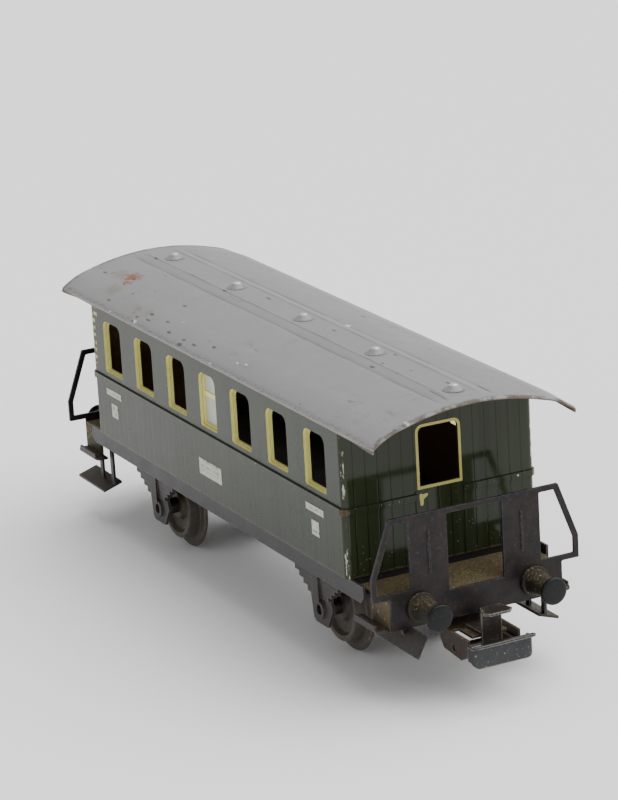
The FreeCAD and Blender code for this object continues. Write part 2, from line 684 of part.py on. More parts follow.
def make_coupler_hook(name, end):
    body = new_body(f"coupler_hook_{name}")
    slab(body, "tongue", "XY", "shank_top+tin/2", "tin",
         [box(f"{end}*hook_root", f"{end}*(hook_x+tin/2)", "-hook_half", "hook_half")])
    slab(body, "post", "YZ", f"{end}*hook_x", "tin",
         [[("-hook_half", "hook_low"), ("hook_half", "hook_low"), ("hook_half", "hook_top-tin/2"),
           ("-hook_half", "hook_top-tin/2")]])
    slab(body, "crown", "XY", "hook_top-tin/2", "tin",
         [[(f"{end}*(hook_x-tin/2)", "-hook_half"),
           (f"{end}*(hook_reach-hook_chamfer)", "-hook_front_half"),
           (f"{end}*hook_reach", "-hook_front_half+hook_chamfer"),
           (f"{end}*hook_reach", "hook_front_half-hook_chamfer"),
           (f"{end}*(hook_reach-hook_chamfer)", "hook_front_half"),
           (f"{end}*(hook_x-tin/2)", "hook_half")]])


def make_loop_pin(name, end):
    body = new_body(f"loop_pin_{name}")
    slab(body, "pin", "XZ", "0", "2*(shank_half-tin/2)",
         circles=[(f"{end}*pin_x", "pin_z", "pin_radius")])


def make_coupler_loop(name, end):
    body = new_body(f"coupler_loop_{name}")
    back = "(loop_face-tin)"
    slab(body, "face", "YZ", f"{end}*(loop_face-tin/2)", "tin",
         [[("-loop_half+loop_round", "loop_low"), ("loop_half-loop_round", "loop_low", "loop_round"),
           ("loop_half", "loop_low+loop_round"), ("loop_half", "loop_high"), ("-loop_half", "loop_high"),
           ("-loop_half", "loop_low+loop_round", "loop_round")]])
    slab(body, "lip", "XZ", "0", "2*lip_half",
         [[(f"{end}*{back}", "loop_high-tin"), (f"{end}*loop_face", "loop_high-tin"),
           (f"{end}*lip_front", "lip_high-tin/2"), (f"{end}*(lip_front-lip_edge)", "lip_high"),
           (f"{end}*{back}", "loop_high")]])
    for side_name, side in sides.items():
        slab(body, f"return_{side_name}", "XZ", f"{side}*(loop_half-tin/2)", "tin",
             [box(f"{end}*({back}-loop_return)", f"{end}*(loop_face-tin/2)",
                  "loop_low+loop_round", "loop_high-tin")])
        height = "arm_half_height"
        slab(body, f"arm_{side_name}", "XZ", f"{side}*arm_middle", "tin",
             [[(f"{end}*(pin_x)", f"pin_z-{height}"), (f"{end}*(loop_face-tin/2)", f"pin_z-{height}"),
               (f"{end}*(loop_face-tin/2)", f"pin_z+{height}"), (f"{end}*pin_x", f"pin_z+{height}"),
               (f"{end}*(pin_x-{height}*3/4)", f"pin_z+{height}*3/4"),
               (f"{end}*(pin_x-{height})", "pin_z"),
               (f"{end}*(pin_x-{height}*3/4)", f"pin_z-{height}*3/4")]])
    slab(body, "pin_holes", "XZ", "0", f"2*arm_middle+tin+{slack}/2",
         circles=[(f"{end}*pin_x", "pin_z", "pin_radius+pin_play")], cut=True)


make_body_shell()
make_roof()
make_underframe()
for number, place in enumerate((-2, -1, 0, 1, 2), start=1):
    make_roof_vent(number, place)
for side_name, side in sides.items():
    make_toilet_pane(side_name, side)
for end_name, end in ends.items():
    make_end_platform(end_name, end)
    make_end_railing(end_name, end)
    make_axle(end_name, end)
    make_coupler_pivot(end_name, end)
    make_coupler_shank(end_name, end)
    make_coupler_hook(end_name, end)
    make_loop_pin(end_name, end)
    make_coupler_loop(end_name, end)
    for side_name, side in sides.items():
        make_buffer(end_name, end, side_name, side)
        make_axle_guard(end_name, end, side_name, side)
        make_wheel(end_name, end, side_name, side)
        make_upper_step(end_name, end, side_name, side)
        straps = {"near": ("strap_near", "floor_top-floor_thick"), "far": ("strap_far", "floor_top")}
        place = ("step_middle", "step_length", "lower_step_y", "lower_step_z", "step_tilt", straps)
        if (end_name, side_name) == ("front", "right"):  # knocked inwards in use
            straps = {"near": ("bent_strap_near", "floor_top"), "far": ("bent_strap_far", "floor_top")}
            place = ("bent_step_middle", "bent_step_length", "bent_step_y", "bent_step_z",
                     "bent_step_tilt", straps)
        elif (end_name, side_name) == ("front", "left"):  # sits further back
            place = ("shifted_step_middle",) + place[1:]
        make_lower_step(end_name, end, side_name, side, *place)

doc.removeObject("Gauge")
doc.recompute()

for item in doc.Objects:
    if "Invalid" in item.State or "Error" in item.State:
        raise RuntimeError(f"{item.Label} is {item.State}: {item.getStatusString()}")
for body in bodies:
    if body.Shape.isNull() or not body.Shape.isValid():
        raise RuntimeError(f"{body.Label} has no valid shape")

os.makedirs("parts", exist_ok=True)
for body in bodies:
    body.Shape.exportStep(f"parts/{body.Label}.step")
    extent = body.Shape.BoundBox
    print(f"{body.Label}: {len(body.Shape.Solids)} solid, {body.Shape.Volume:.1f} mm3, "
          f"x {extent.XMin:.2f} {extent.XMax:.2f}, y {extent.YMin:.2f} {extent.YMax:.2f}, "
          f"z {extent.ZMin:.2f} {extent.ZMax:.2f}")
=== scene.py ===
import json
import math
import bmesh
import bpy
import numpy as np
from mathutils import Matrix, Vector


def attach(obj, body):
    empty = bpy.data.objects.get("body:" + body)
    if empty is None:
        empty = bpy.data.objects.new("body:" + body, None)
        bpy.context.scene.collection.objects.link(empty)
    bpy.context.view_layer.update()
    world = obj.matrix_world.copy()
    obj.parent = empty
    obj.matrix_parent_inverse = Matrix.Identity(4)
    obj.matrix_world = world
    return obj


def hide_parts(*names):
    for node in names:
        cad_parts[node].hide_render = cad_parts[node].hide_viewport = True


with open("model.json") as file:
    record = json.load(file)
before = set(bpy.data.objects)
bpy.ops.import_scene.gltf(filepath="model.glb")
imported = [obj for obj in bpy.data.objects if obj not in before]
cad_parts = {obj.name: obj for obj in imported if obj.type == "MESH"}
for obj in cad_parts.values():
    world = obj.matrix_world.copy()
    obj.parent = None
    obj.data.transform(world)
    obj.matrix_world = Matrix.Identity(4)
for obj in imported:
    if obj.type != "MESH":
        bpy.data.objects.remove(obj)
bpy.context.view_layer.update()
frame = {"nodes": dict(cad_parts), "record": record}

mm = 0.001
ends = {"front": 1, "rear": -1}
sides = {"left": 1, "right": -1}


# Screen colour, 0 to 255, as the shader's linear colour.
def tone(red, green, blue):
    c = np.array((red, green, blue)) / 255
    c = np.where(c <= 0.04045, c / 12.92, ((c + 0.055) / 1.055) ** 2.4)
    return (*c.tolist(), 1.0)


bench = {}  # its "tree" is the material or group that nodes are being put into


def addNode(kind, **values):
    node = bench["tree"].nodes.new(kind)
    for name, value in values.items():
        if hasattr(node, name):
            setattr(node, name, value)
    return node


def feed(socket, value):
    if isinstance(value, bpy.types.NodeSocket):
        bench["tree"].links.new(value, socket)
    else:
        socket.default_value = value


def calc(operation, *values):
    node = addNode("ShaderNodeMath", operation=operation)
    for socket, value in zip(node.inputs, values):
        feed(socket, value)
    return node.outputs[0]


# Two or more values worked together, from the left.
def chain(operation, first, *rest):
    for value in rest:
        first = calc(operation, first, value)
    return first


def times(*values):
    return chain("MULTIPLY", *values)


def plus(*values):
    return chain("ADD", *values)


def larger(*values):
    return chain("MAXIMUM", *values)


def minus(first, second):
    return calc("SUBTRACT", first, second)


def absolute(value):
    return calc("ABSOLUTE", value)


def apart(first, second):
    return absolute(minus(first, second))


def scaled(vector, factors):
    node = addNode("ShaderNodeVectorMath", operation="MULTIPLY")
    feed(node.inputs[0], vector)
    feed(node.inputs[1], factors)
    return node.outputs[0]


def parts(vector):
    node = addNode("ShaderNodeSeparateXYZ")
    feed(node.inputs[0], vector)
    return node.outputs


# 0 below low, 1 above high, smooth between. Low may be above high.
def step(value, low, high):
    node = addNode("ShaderNodeMapRange", interpolation_type="SMOOTHSTEP")
    feed(node.inputs["Value"], value)
    feed(node.inputs["From Min"], low)
    feed(node.inputs["From Max"], high)
    return node.outputs["Result"]


def noise(vector, scale, detail=3.0, rough=0.55, distortion=0.0):
    node = addNode("ShaderNodeTexNoise")
    feed(node.inputs["Vector"], vector)
    for name, value in (("Scale", scale), ("Detail", detail), ("Roughness", rough),
                        ("Distortion", distortion)):
        feed(node.inputs[name], value)
    return node.outputs["Fac"]


def blend(share, first, second):
    node = addNode("ShaderNodeMix", data_type="RGBA")
    feed(node.inputs["Factor"], share)
    feed(node.inputs[6], first)
    feed(node.inputs[7], second)
    return node.outputs[2]


def blendValue(share, first, second):
    node = addNode("ShaderNodeMix", data_type="FLOAT")
    feed(node.inputs[0], share)
    feed(node.inputs[2], first)
    feed(node.inputs[3], second)
    return node.outputs[0]


# Node group that takes Place, a vector, and the numbers given, and puts out numbers.
def newGroup(name, inputs, outputs):
    group = bench["tree"] = bpy.data.node_groups.new(name, "ShaderNodeTree")
    group.interface.new_socket(name="Place", in_out="INPUT", socket_type="NodeSocketVector")
    for label, value in inputs.items():
        socket = group.interface.new_socket(name=label, in_out="INPUT", socket_type="NodeSocketFloat")
        socket.default_value = value
    for label in outputs:
        group.interface.new_socket(name=label, in_out="OUTPUT", socket_type="NodeSocketFloat")
    return group, group.nodes.new("NodeGroupInput").outputs, group.nodes.new("NodeGroupOutput").inputs


def use(group, **values):
    node = addNode("ShaderNodeGroup")
    node.node_tree = group
    for name, value in values.items():
        feed(node.inputs[name], value)
    return node.outputs


# Shared effects; Place is always the object coordinate in millimetres

# Wear = how far the rounded-off normal leans from the flat one near an edge, broken up by noise.
def makeEdgeWear():
    group, given, out = newGroup("edgeWear", {"Width": 0.3, "Amount": 0.5, "Grain": 3.0},
                                 ["Mask"])
    soft = addNode("ShaderNodeBevel", samples=6)
    feed(soft.inputs["Radius"], times(given["Width"], mm))
    flat = addNode("ShaderNodeNewGeometry")
    lean = addNode("ShaderNodeVectorMath", operation="DOT_PRODUCT")
    feed(lean.inputs[0], soft.outputs[0])
    feed(lean.inputs[1], flat.outputs["Normal"])
    edge = step(minus(1.0, lean.outputs["Value"]), 0.0, 0.12)
    broken = noise(given["Place"], given["Grain"], 4.0, 0.65)
    limit = minus(1.0, times(edge, given["Amount"]))
    feed(out["Mask"], step(minus(broken, times(limit, 0.62)), -0.02, 0.12))
    return group


# Specks = cells whose own random number is below Density, each filled to Size of the way to its neighbours.
def makeSpecks():
    group, given, out = newGroup("specks", {"Scale": 2.0, "Density": 0.1, "Size": 0.3},
                                 ["Mask", "Shade"])
    cell = addNode("ShaderNodeTexVoronoi", feature="F1")
    feed(cell.inputs["Vector"], given["Place"])
    feed(cell.inputs["Scale"], given["Scale"])
    random = parts(cell.outputs["Color"])
    chosen = calc("LESS_THAN", random[0], given["Density"])
    size = times(given["Size"], plus(0.4, random[1]))
    dot = step(cell.outputs["Distance"], size, times(size, 0.5))
    feed(out["Mask"], times(dot, chosen))
    feed(out["Shade"], random[2])
    return group


# Grime = two layers of noise multiplied, cut at a level set by Amount, so that it gathers in patches.
def makeGrime():
    group, given, out = newGroup("grime", {"Scale": 0.2, "Amount": 0.5, "Soft": 0.15},
                                 ["Mask", "Fine"])
    broad = noise(given["Place"], given["Scale"], 5.0, 0.6, 0.3)
    fine = noise(given["Place"], times(given["Scale"], 9.0), 4.0, 0.6)
    both = plus(times(broad, 0.7), times(fine, 0.3))
    level = minus(0.8, times(given["Amount"], 0.6))
    feed(out["Mask"], step(both, minus(level, given["Soft"]),
                                  plus(level, given["Soft"])))
    feed(out["Fine"], fine)
    return group


# Scratches = where a noise stretched along X or Y crosses its middle value, kept only in some patches.
def makeScratches():
    group, given, out = newGroup("scratches", {"Scale": 0.6, "Amount": 0.5},
                                 ["Mask"])
    masks = []
    for stretch, width in (((0.12, 1.4, 1.0), 0.012), ((1.2, 0.2, 1.0), 0.010)):
        line = noise(scaled(given["Place"], stretch), given["Scale"], 2.0, 0.5, 0.4)
        off = apart(line, 0.5)
        masks.append(step(off, width, 0.0))
    patch = step(noise(given["Place"], 0.16, 3.0, 0.6), minus(0.8, times(given["Amount"], 0.4)), 0.85)
    feed(out["Mask"], times(larger(*masks), patch))
    return group


# Plank lines = distance along the wall to the nearest multiple of Pitch, under half of Width. The wall's
# own run is X on the sides and Y on the ends, told apart by the flat normal.
def makePlanks():
    group, given, out = newGroup("planks", {"Pitch": 1.9, "Width": 0.16},
                                 ["Line", "Board"])
    x, y, z = parts(given["Place"])
    flat = addNode("ShaderNodeNewGeometry")
    nx, ny, nz = parts(flat.outputs["Normal"])
    onEnd = calc("GREATER_THAN", absolute(nx), 0.6)
    run = blendValue(onEnd, plus(x, 0.6), plus(y, 0.2))
    whole = calc("DIVIDE", run, given["Pitch"])
    away = times(apart(whole, calc("ROUND", whole)), given["Pitch"])
    feed(out["Line"], step(away, given["Width"], times(given["Width"], 0.3)))
    number = addNode("ShaderNodeTexWhiteNoise", noise_dimensions="1D")
    feed(number.inputs["W"], calc("FLOOR", plus(whole, 0.5)))
    feed(out["Board"], number.outputs["Value"])
    return group


edgeWear, specks, grime = makeEdgeWear(), makeSpecks(), makeGrime()
scratches, planks = makeScratches(), makePlanks()


# Empty material with its Principled shader, and the object coordinate in millimetres.
def newMaterial(name):
    material = bpy.data.materials.new(name)
    material.use_nodes = True
    tree = bench["tree"] = material.node_tree
    shader = tree.nodes["Principled BSDF"]
    where = addNode("ShaderNodeTexCoord")
    return material, shader, scaled(where.outputs["Object"], (1 / mm,) * 3)


def finishMaterial(shader, colour, roughness, height, depth, metallic=None, mirror=0.5):
    feed(shader.inputs["Base Color"], colour)
    feed(shader.inputs["Roughness"], roughness)
    if metallic is not None:
        feed(shader.inputs["Metallic"], metallic)
    bump = addNode("ShaderNodeBump")
    bump.inputs["Strength"].default_value = 1.0
    bump.inputs["Distance"].default_value = depth * mm
    feed(bump.inputs["Height"], height)
    feed(shader.inputs["Normal"], bump.outputs["Normal"])
    shader.inputs["Specular IOR Level"].default_value = mirror


print("shared node groups made")


wallLook = {"green": tone(35, 41, 24), "greenLight": tone(43, 49, 33), "line": tone(13, 16, 9),
            "chip": tone(190, 186, 172), "rust": tone(104, 62, 42), "dust": tone(96, 90, 64),
            "print": tone(190, 188, 110), "marks": (-42.5, -39.9, 28.2, 37.6), "markSide": (-14.2, -14.3),
            "ends": (42.4, 42.6), "planksBelow": (25.9, 25.6), "corner": (42.0, 14.6), "bead": 26.3,
            "highWear": ((27.5, 29.0), (37.0, 35.0)), "lowWear": (22.5, 20.5), "foot": (17.1, 16.6),
            "dustLine": (16.95, 16.75), "grainsDown": (30.0, 15.5)}


# Green lacquer. Planks show on the ends and below the bead of the sides; chips gather where corner, bead
# and foot masks are high; dust grains thicken downwards on the ends; a column of small yellow dashes stands
# at one corner.
def wallMaterial():
    material, shader, place = newMaterial("greenLacquer")
    x, y, z = parts(place)
    onEnd = step(absolute(x), *wallLook["ends"])
    plank = use(planks, Place=place)
    dull = use(grime, Place=place, Scale=0.12, Amount=0.55)
    line = times(plank["Line"], larger(onEnd, step(z, *wallLook["planksBelow"])))
    colour = blend(plank["Board"], wallLook["green"], wallLook["greenLight"])
    colour = blend(times(line, 0.85), colour, wallLook["line"])
    colour = blend(times(dull["Mask"], 0.3), colour, wallLook["greenLight"])
    marks = use(specks, Place=scaled(place, (1.6, 1.6, 0.7)), Scale=0.55, Density=0.06, Size=0.13)
    colour = blend(times(marks["Mask"], 0.7), colour, wallLook["line"])
    # corner: within a millimetre of both walls, most worn in two stretches of its height
    reachX = minus(absolute(x), wallLook["corner"][0])
    reachY = minus(absolute(y), wallLook["corner"][1])
    corner = step(calc("MINIMUM", reachX, reachY), -0.05, 0.25)
    high = times(*(step(z, *span) for span in wallLook["highWear"]))
    low = step(z, *wallLook["lowWear"])
    worn = times(corner, plus(0.55, times(larger(high, low), 0.35)))
    bead = step(apart(z, wallLook["bead"]), 0.75, 0.35)
    foot = step(z, *wallLook["foot"])
    spots = larger(worn, times(bead, 0.42), times(foot, 0.4))
    rough = noise(scaled(place, (1.2, 1.2, 0.35)), 1.9, 6.0, 0.75)
    chip = step(plus(rough, times(spots, 0.28)), 0.745, 0.79)
    chip = times(chip, step(spots, 0.1, 0.3))
    rusty = step(noise(place, 0.35, 3.0, 0.6), 0.52, 0.62)
    colour = blend(chip, colour, blend(rusty, wallLook["chip"], wallLook["rust"]))
    # brown-red wear where the bead meets a corner
    burnt = times(corner, bead, step(rough, 0.35, 0.6))
    colour = blend(times(burnt, 0.8), colour, wallLook["rust"])
    lit = times(step(z, *wallLook["dustLine"]), step(rough, 0.35, 0.6))
    colour = blend(times(lit, 0.55), colour, wallLook["dust"])
    depth = times(step(z, *wallLook["grainsDown"]), onEnd)
    grains = use(specks, Place=place, Scale=2.0, Density=times(depth, 0.3), Size=0.26)
    colour = blend(times(grains["Mask"], 0.75), colour, wallLook["dust"])
    strays = use(specks, Place=place, Scale=0.7, Density=times(onEnd, 0.09), Size=0.13)
    colour = blend(strays["Mask"], colour, wallLook["chip"])
    # printed marks: dashes where both noises are high, in rows 1.2 mm apart
    x0, x1, z0, z1 = wallLook["marks"]
    column = larger(step(x, x0 + 1.75, x0 + 1.5), step(z, z1 - 1.7, z1 - 1.6))
    area = times(column, step(z, z0, z0 + 0.1), step(z, z1, z1 - 0.1))
    area = times(area, step(x, x1, x1 - 0.1), step(x, x0, x0 + 0.1))
    area = times(area, step(y, *wallLook["markSide"]))
    rows = step(calc("SINE", times(z, 5.2)), -0.2, 0.2)
    dashes = step(noise(scaled(place, (1.8, 0.0, 1.4)), 1.0, 2.0, 0.6), 0.42, 0.52)
    colour = blend(times(rows, dashes, area), colour, wallLook["print"])
    height = minus(times(dull["Fine"], 0.1), plus(times(line, 0.3), times(chip, 0.6)))
    roughness = blendValue(onEnd, blendValue(dull["Mask"], 0.2, 0.28), blendValue(dull["Mask"], 0.07, 0.13))
    roughness = blendValue(larger(chip, grains["Mask"]), roughness, 0.6)
    finishMaterial(shader, colour, roughness, height, 0.025, mirror=0.42)
    shader.inputs["IOR"].default_value = 1.36
    return material


# Printed yellow: slanting hatch = sine of x + y + 1.6 z, and a little soiling.
def yellowMaterial(name, light, dark, hatch):
    material, shader, place = newMaterial(name)
    x, y, z = parts(place)
    slant = times(plus(x, y, times(z, 1.6)), 14.0)
    lines = step(calc("SINE", slant), -0.2, 0.7)
    soil = use(grime, Place=place, Scale=0.5, Amount=0.45)
    colour = blend(times(lines, hatch), light, dark)
    colour = blend(times(soil["Mask"], 0.35), colour, dark)
    finishMaterial(shader, colour, blendValue(soil["Mask"], 0.25, 0.45), soil["Fine"], 0.01, mirror=0.3)
    return material


# Bare inside of the shell: dark brown varnish with streaks.
def insideMaterial():
    material, shader, place = newMaterial("insideVarnish")
    streak = noise(scaled(place, (0.2, 1.0, 1.0)), 0.4, 4.0, 0.6)
    colour = blend(streak, tone(58, 40, 22), tone(118, 80, 42))
    finishMaterial(shader, colour, blendValue(streak, 0.5, 0.75), streak, 0.02)
    return material


roofLook = {"grey": tone(131, 131, 131), "dark": tone(112, 111, 110), "lip": tone(142, 138, 136),
            "rust": tone(124, 74, 46), "stain": tone(112, 96, 76), "bare": tone(222, 222, 220),
            "chip": tone(76, 66, 58), "nickAndShade": tone(56, 51, 47),
            "spots": ((-39.9, -8.7, 1.9, 0.9), (-38.4, -10.3, 0.9, 0.8), (-42.9, -8.9, 2.0, 0.4),
                      (-38.4, -12.8, 1.7, 0.45), (-45.4, -9.8, 0.5, 0.6), (-26.6, -13.9, 0.8, 0.6),
                      (-23.6, -13.6, 0.9, 0.4)),
            "creases": (2.35, 4.2), "shortCreaseShades": ((-2.8, 45.6, 51.7), (4.3, 46.5, 51.2)),
            "creaseEnds": ((-48.0, -44.0), (45.0, 38.0)), "eaveWear": (12.0, 15.5), "frontWear": (42.0, 53.0),
            "lipAcross": (15.75, 15.95), "lipBelow": (38.9, 38.7), "rims": ((52.2, 53.2), (-50.6, -51.6)),
            "foot": (38.35, 38.2), "eaveChips": (15.1, 15.7), "ventCrownHighlight": (43.5, 43.75), "ventFoot": 42.76}


# Grey lacquer. Crease shade = distance of |y| to a crease, broken by noise, painted dark as shade in the
# creases;
# rust = distance to each spot made ragged by noise; nicks thicken towards the eaves; the lip is paler with a
# dark foot; worn (vent caps) paints the crown near white, bare metal and painted highlight, and a painted
# shade ring at its foot.
def roofMaterial(name, worn):
    material, shader, place = newMaterial(name)
    x, y, z = parts(place)
    absY = absolute(y)
    cloud = use(grime, Place=place, Scale=0.06, Amount=0.5, Soft=0.3)
    colour = blend(times(cloud["Mask"], 0.3), roofLook["grey"], roofLook["dark"])
    fine = noise(place, 3.0, 5.0, 0.7)
    colour = blend(times(step(fine, 0.52, 0.7), 0.2), colour, roofLook["dark"])
    ragged = noise(place, 0.9, 5.0, 0.7)
    rust, stain = 0.0, 0.0
    for sx, sy, size, strength in roofLook["spots"]:
        dx = times(minus(x, sx), 0.75)
        dy = minus(y, sy)
        away = calc("SQRT", plus(times(dx, dx), times(dy, dy)))
        edge = plus(away, times(minus(ragged, 0.5), 4.0))
        spot = times(step(edge, size, size * 0.3), strength)
        if strength > 0.6:
            rust = larger(rust, spot)
        else:
            stain = larger(stain, spot)
    if not worn:
        colour = blend(stain, colour, roofLook["stain"])
        colour = blend(rust, colour, roofLook["rust"])
        # painted shade: dark lines along the creases of the raised band, broken by noise and faded near the
        # ends
        creaseShade = 0.0
        for level in roofLook["creases"]:
            off = apart(absY, level)
            creaseShade = larger(creaseShade, step(off, 0.16, 0.05))
        creaseShade = times(creaseShade, step(noise(scaled(place, (0.15, 1.0, 1.0)), 0.8, 4.0, 0.6), 0.4, 0.62))
        creaseShade = times(creaseShade, *(step(x, *span) for span in roofLook["creaseEnds"]))
        colour = blend(times(creaseShade, 0.45), colour, roofLook["nickAndShade"])
        # painted shade: short dark crease lines near the front end
        for level, start, stop in roofLook["shortCreaseShades"]:
            off = apart(y, level)
            short = times(step(off, 0.16, 0.04), step(x, start, start + 1.0), step(x, stop, stop - 1.5))
            colour = blend(times(short, 0.75), colour, roofLook["nickAndShade"])
    nearEave = step(absY, *roofLook["eaveWear"])
    nearFront = step(x, *roofLook["frontWear"])
    density = plus(0.08, times(larger(nearEave, nearFront), 0.3))
    nicks = use(specks, Place=scaled(place, (0.4, 1.0, 1.0)), Scale=0.9, Density=density, Size=0.27)
    colour = blend(times(nicks["Mask"], 0.8), colour,
                   blend(step(nicks["Shade"], 0.75, 0.8), roofLook["nickAndShade"], roofLook["bare"]))
    hair = use(scratches, Place=place, Scale=0.5, Amount=0.8)
    colour = blend(times(hair["Mask"], 0.8), colour, roofLook["nickAndShade"])
    metal = None
    if worn:
        # the vent crown is painted near white: a painted highlight on the top of the dome, and bare worn
        # metal
        crown = step(plus(z, times(fine, 0.5)), *roofLook["ventCrownHighlight"])
        # painted shade: a dark ring, broken by noise, where the vent dome meets the roof
        outline = step(apart(z, roofLook["ventFoot"]), 0.08, 0.02)
        colour = blend(times(outline, step(fine, 0.42, 0.6), 0.5),
                       colour, roofLook["nickAndShade"])
        colour = blend(crown, colour, roofLook["bare"])
        metal = times(crown, 0.75)
        roughness = blendValue(crown, 0.34, 0.24)
    else:
        lip = times(step(absY, *roofLook["lipAcross"]), step(z, *roofLook["lipBelow"]))
        colour = blend(times(lip, 0.8), colour, roofLook["lip"])
        chips = use(grime, Place=place, Scale=0.5, Amount=0.5, Soft=0.06)
        rim = larger(*(step(x, *span) for span in roofLook["rims"]))
        foot = times(step(z, *roofLook["foot"]), 0.9)
        rim = larger(times(rim, chips["Mask"]), foot)
        colour = blend(times(rim, 0.8), colour, roofLook["chip"])
        eave = times(step(absY, *roofLook["eaveChips"]), step(chips["Fine"], 0.54, 0.6))
        colour = blend(times(eave, 0.75), colour, roofLook["chip"])
        roughness = blendValue(larger(rust, rim), blendValue(cloud["Mask"], 0.34, 0.46), 0.8)
    height = minus(times(fine, 0.2), plus(hair["Mask"], nicks["Mask"]))
    finishMaterial(shader, colour, roughness, height, 0.02, metal)
    return material


# Milky pane behind the middle window: greyish white with soft streaks.
def paneMaterial():
    material, shader, place = newMaterial("milkyPane")
    streak = noise(scaled(place, (1.0, 1.0, 0.3)), 0.9, 4.0, 0.6)
    colour = blend(streak, tone(160, 160, 154), tone(202, 202, 192))
    finishMaterial(shader, colour, blendValue(streak, 0.25, 0.4), streak, 0.01)
    return material


# Dark lacquered or bare tin: mottled tone, rust patches, dust on faces that look up, stray grains and
# rubbed edges. calm(place) gives a mask where none of the soiling settles.
def paintedMetal(name, base, second, dust, rust, dustAmount, rustAmount, speck, edge, edgeAmount, gloss,
                 grainScale=2.4, depth=0.03, metal=0.0, mirror=0.3, calm=None, speckSize=0.2, speckScale=1.8,
                 mottleScale=0.25, grit=tone(176, 168, 150)):
    material, shader, place = newMaterial(name)
    mottle = use(grime, Place=place, Scale=mottleScale, Amount=0.5, Soft=0.22)
    colour = blend(mottle["Mask"], base, second)
    bare = minus(1.0, calm(place)) if calm else 1.0
    rusty = use(grime, Place=place, Scale=0.55, Amount=rustAmount, Soft=0.12)
    rusted = times(rusty["Mask"], bare)
    colour = blend(times(rusted, 0.75), colour, rust)
    face = addNode("ShaderNodeNewGeometry")
    up = parts(face.outputs["Normal"])[2]
    settled = times(step(up, 0.1, 0.9), dustAmount)
    lying = use(grime, Place=place, Scale=0.5, Amount=plus(settled, dustAmount * 0.35), Soft=0.2)
    grain = noise(place, grainScale, 5.0, 0.75)
    dusty = times(lying["Mask"], step(grain, 0.32, 0.62), bare)
    colour = blend(dusty, colour, blend(step(grain, 0.5, 0.75), dust, tone(128, 112, 76)))
    stray = use(specks, Place=place, Scale=speckScale, Density=speck, Size=speckSize)
    seen = times(stray["Mask"], bare)
    colour = blend(times(seen, 0.8), colour,
                   blend(stray["Shade"], tone(70, 52, 38), grit))
    wear = use(edgeWear, Place=place, Width=0.28, Amount=edgeAmount, Grain=2.2)
    colour = blend(times(wear["Mask"], 0.7), colour, edge)
    height = plus(times(mottle["Fine"], 0.15), times(dusty, 0.8), times(rusted, 0.3))
    roughness = blendValue(mottle["Mask"], gloss, gloss + 0.12)
    roughness = blendValue(larger(dusty, rusted), roughness, 0.85)
    shine = None
    if metal:
        shine = times(minus(1.0, larger(dusty, rusted)), metal)
    finishMaterial(shader, colour, roughness, height, depth, shine, mirror)
    return material


barLook = {"panel": (10.6, 10.3), "panelTop": (26.9, 26.7), "headstock": (16.0, 15.6)}


# 1 on the thin bars of the railing: above the headstock and off the two panels.
def barMask(place):
    x, y, z = parts(place)
    panel = times(step(absolute(y), *barLook["panel"]), step(z, *barLook["panelTop"]))
    panel = larger(panel, step(z, *barLook["headstock"]))
    return minus(1.0, panel)


plateLook = {"cream": tone(196, 196, 182), "soiled": tone(164, 163, 148), "ink": tone(84, 86, 78),
             "rows": ((24.5, 0.4, 3.4), (22.15, 0.5, 1.3), (21.2, 0.5, 1.1), (20.6, 0.35, 2.6))}


# Cream plate with rows of abstract dashes: a row is a band about its height, cut by a noise along x.
def plaqueMaterial():
    material, shader, place = newMaterial("creamPlate")
    x, y, z = parts(place)
    soil = use(grime, Place=place, Scale=0.9, Amount=0.5)
    colour = blend(times(soil["Mask"], 0.5), plateLook["cream"], plateLook["soiled"])
    ink = 0.0
    for middle, tall, pitch in plateLook["rows"]:
        dash = noise(scaled(place, (pitch, 0.0, 0.3)), 1.0, 2.0, 0.6)
        off = apart(z, middle)
        ink = larger(ink, times(step(off, tall / 2, tall / 3), step(dash, 0.5, 0.56)))
    colour = blend(times(ink, 0.6), colour, plateLook["ink"])
    finishMaterial(shader, colour, blendValue(soil["Mask"], 0.3, 0.45), soil["Fine"], 0.01, mirror=0.3)
    return material


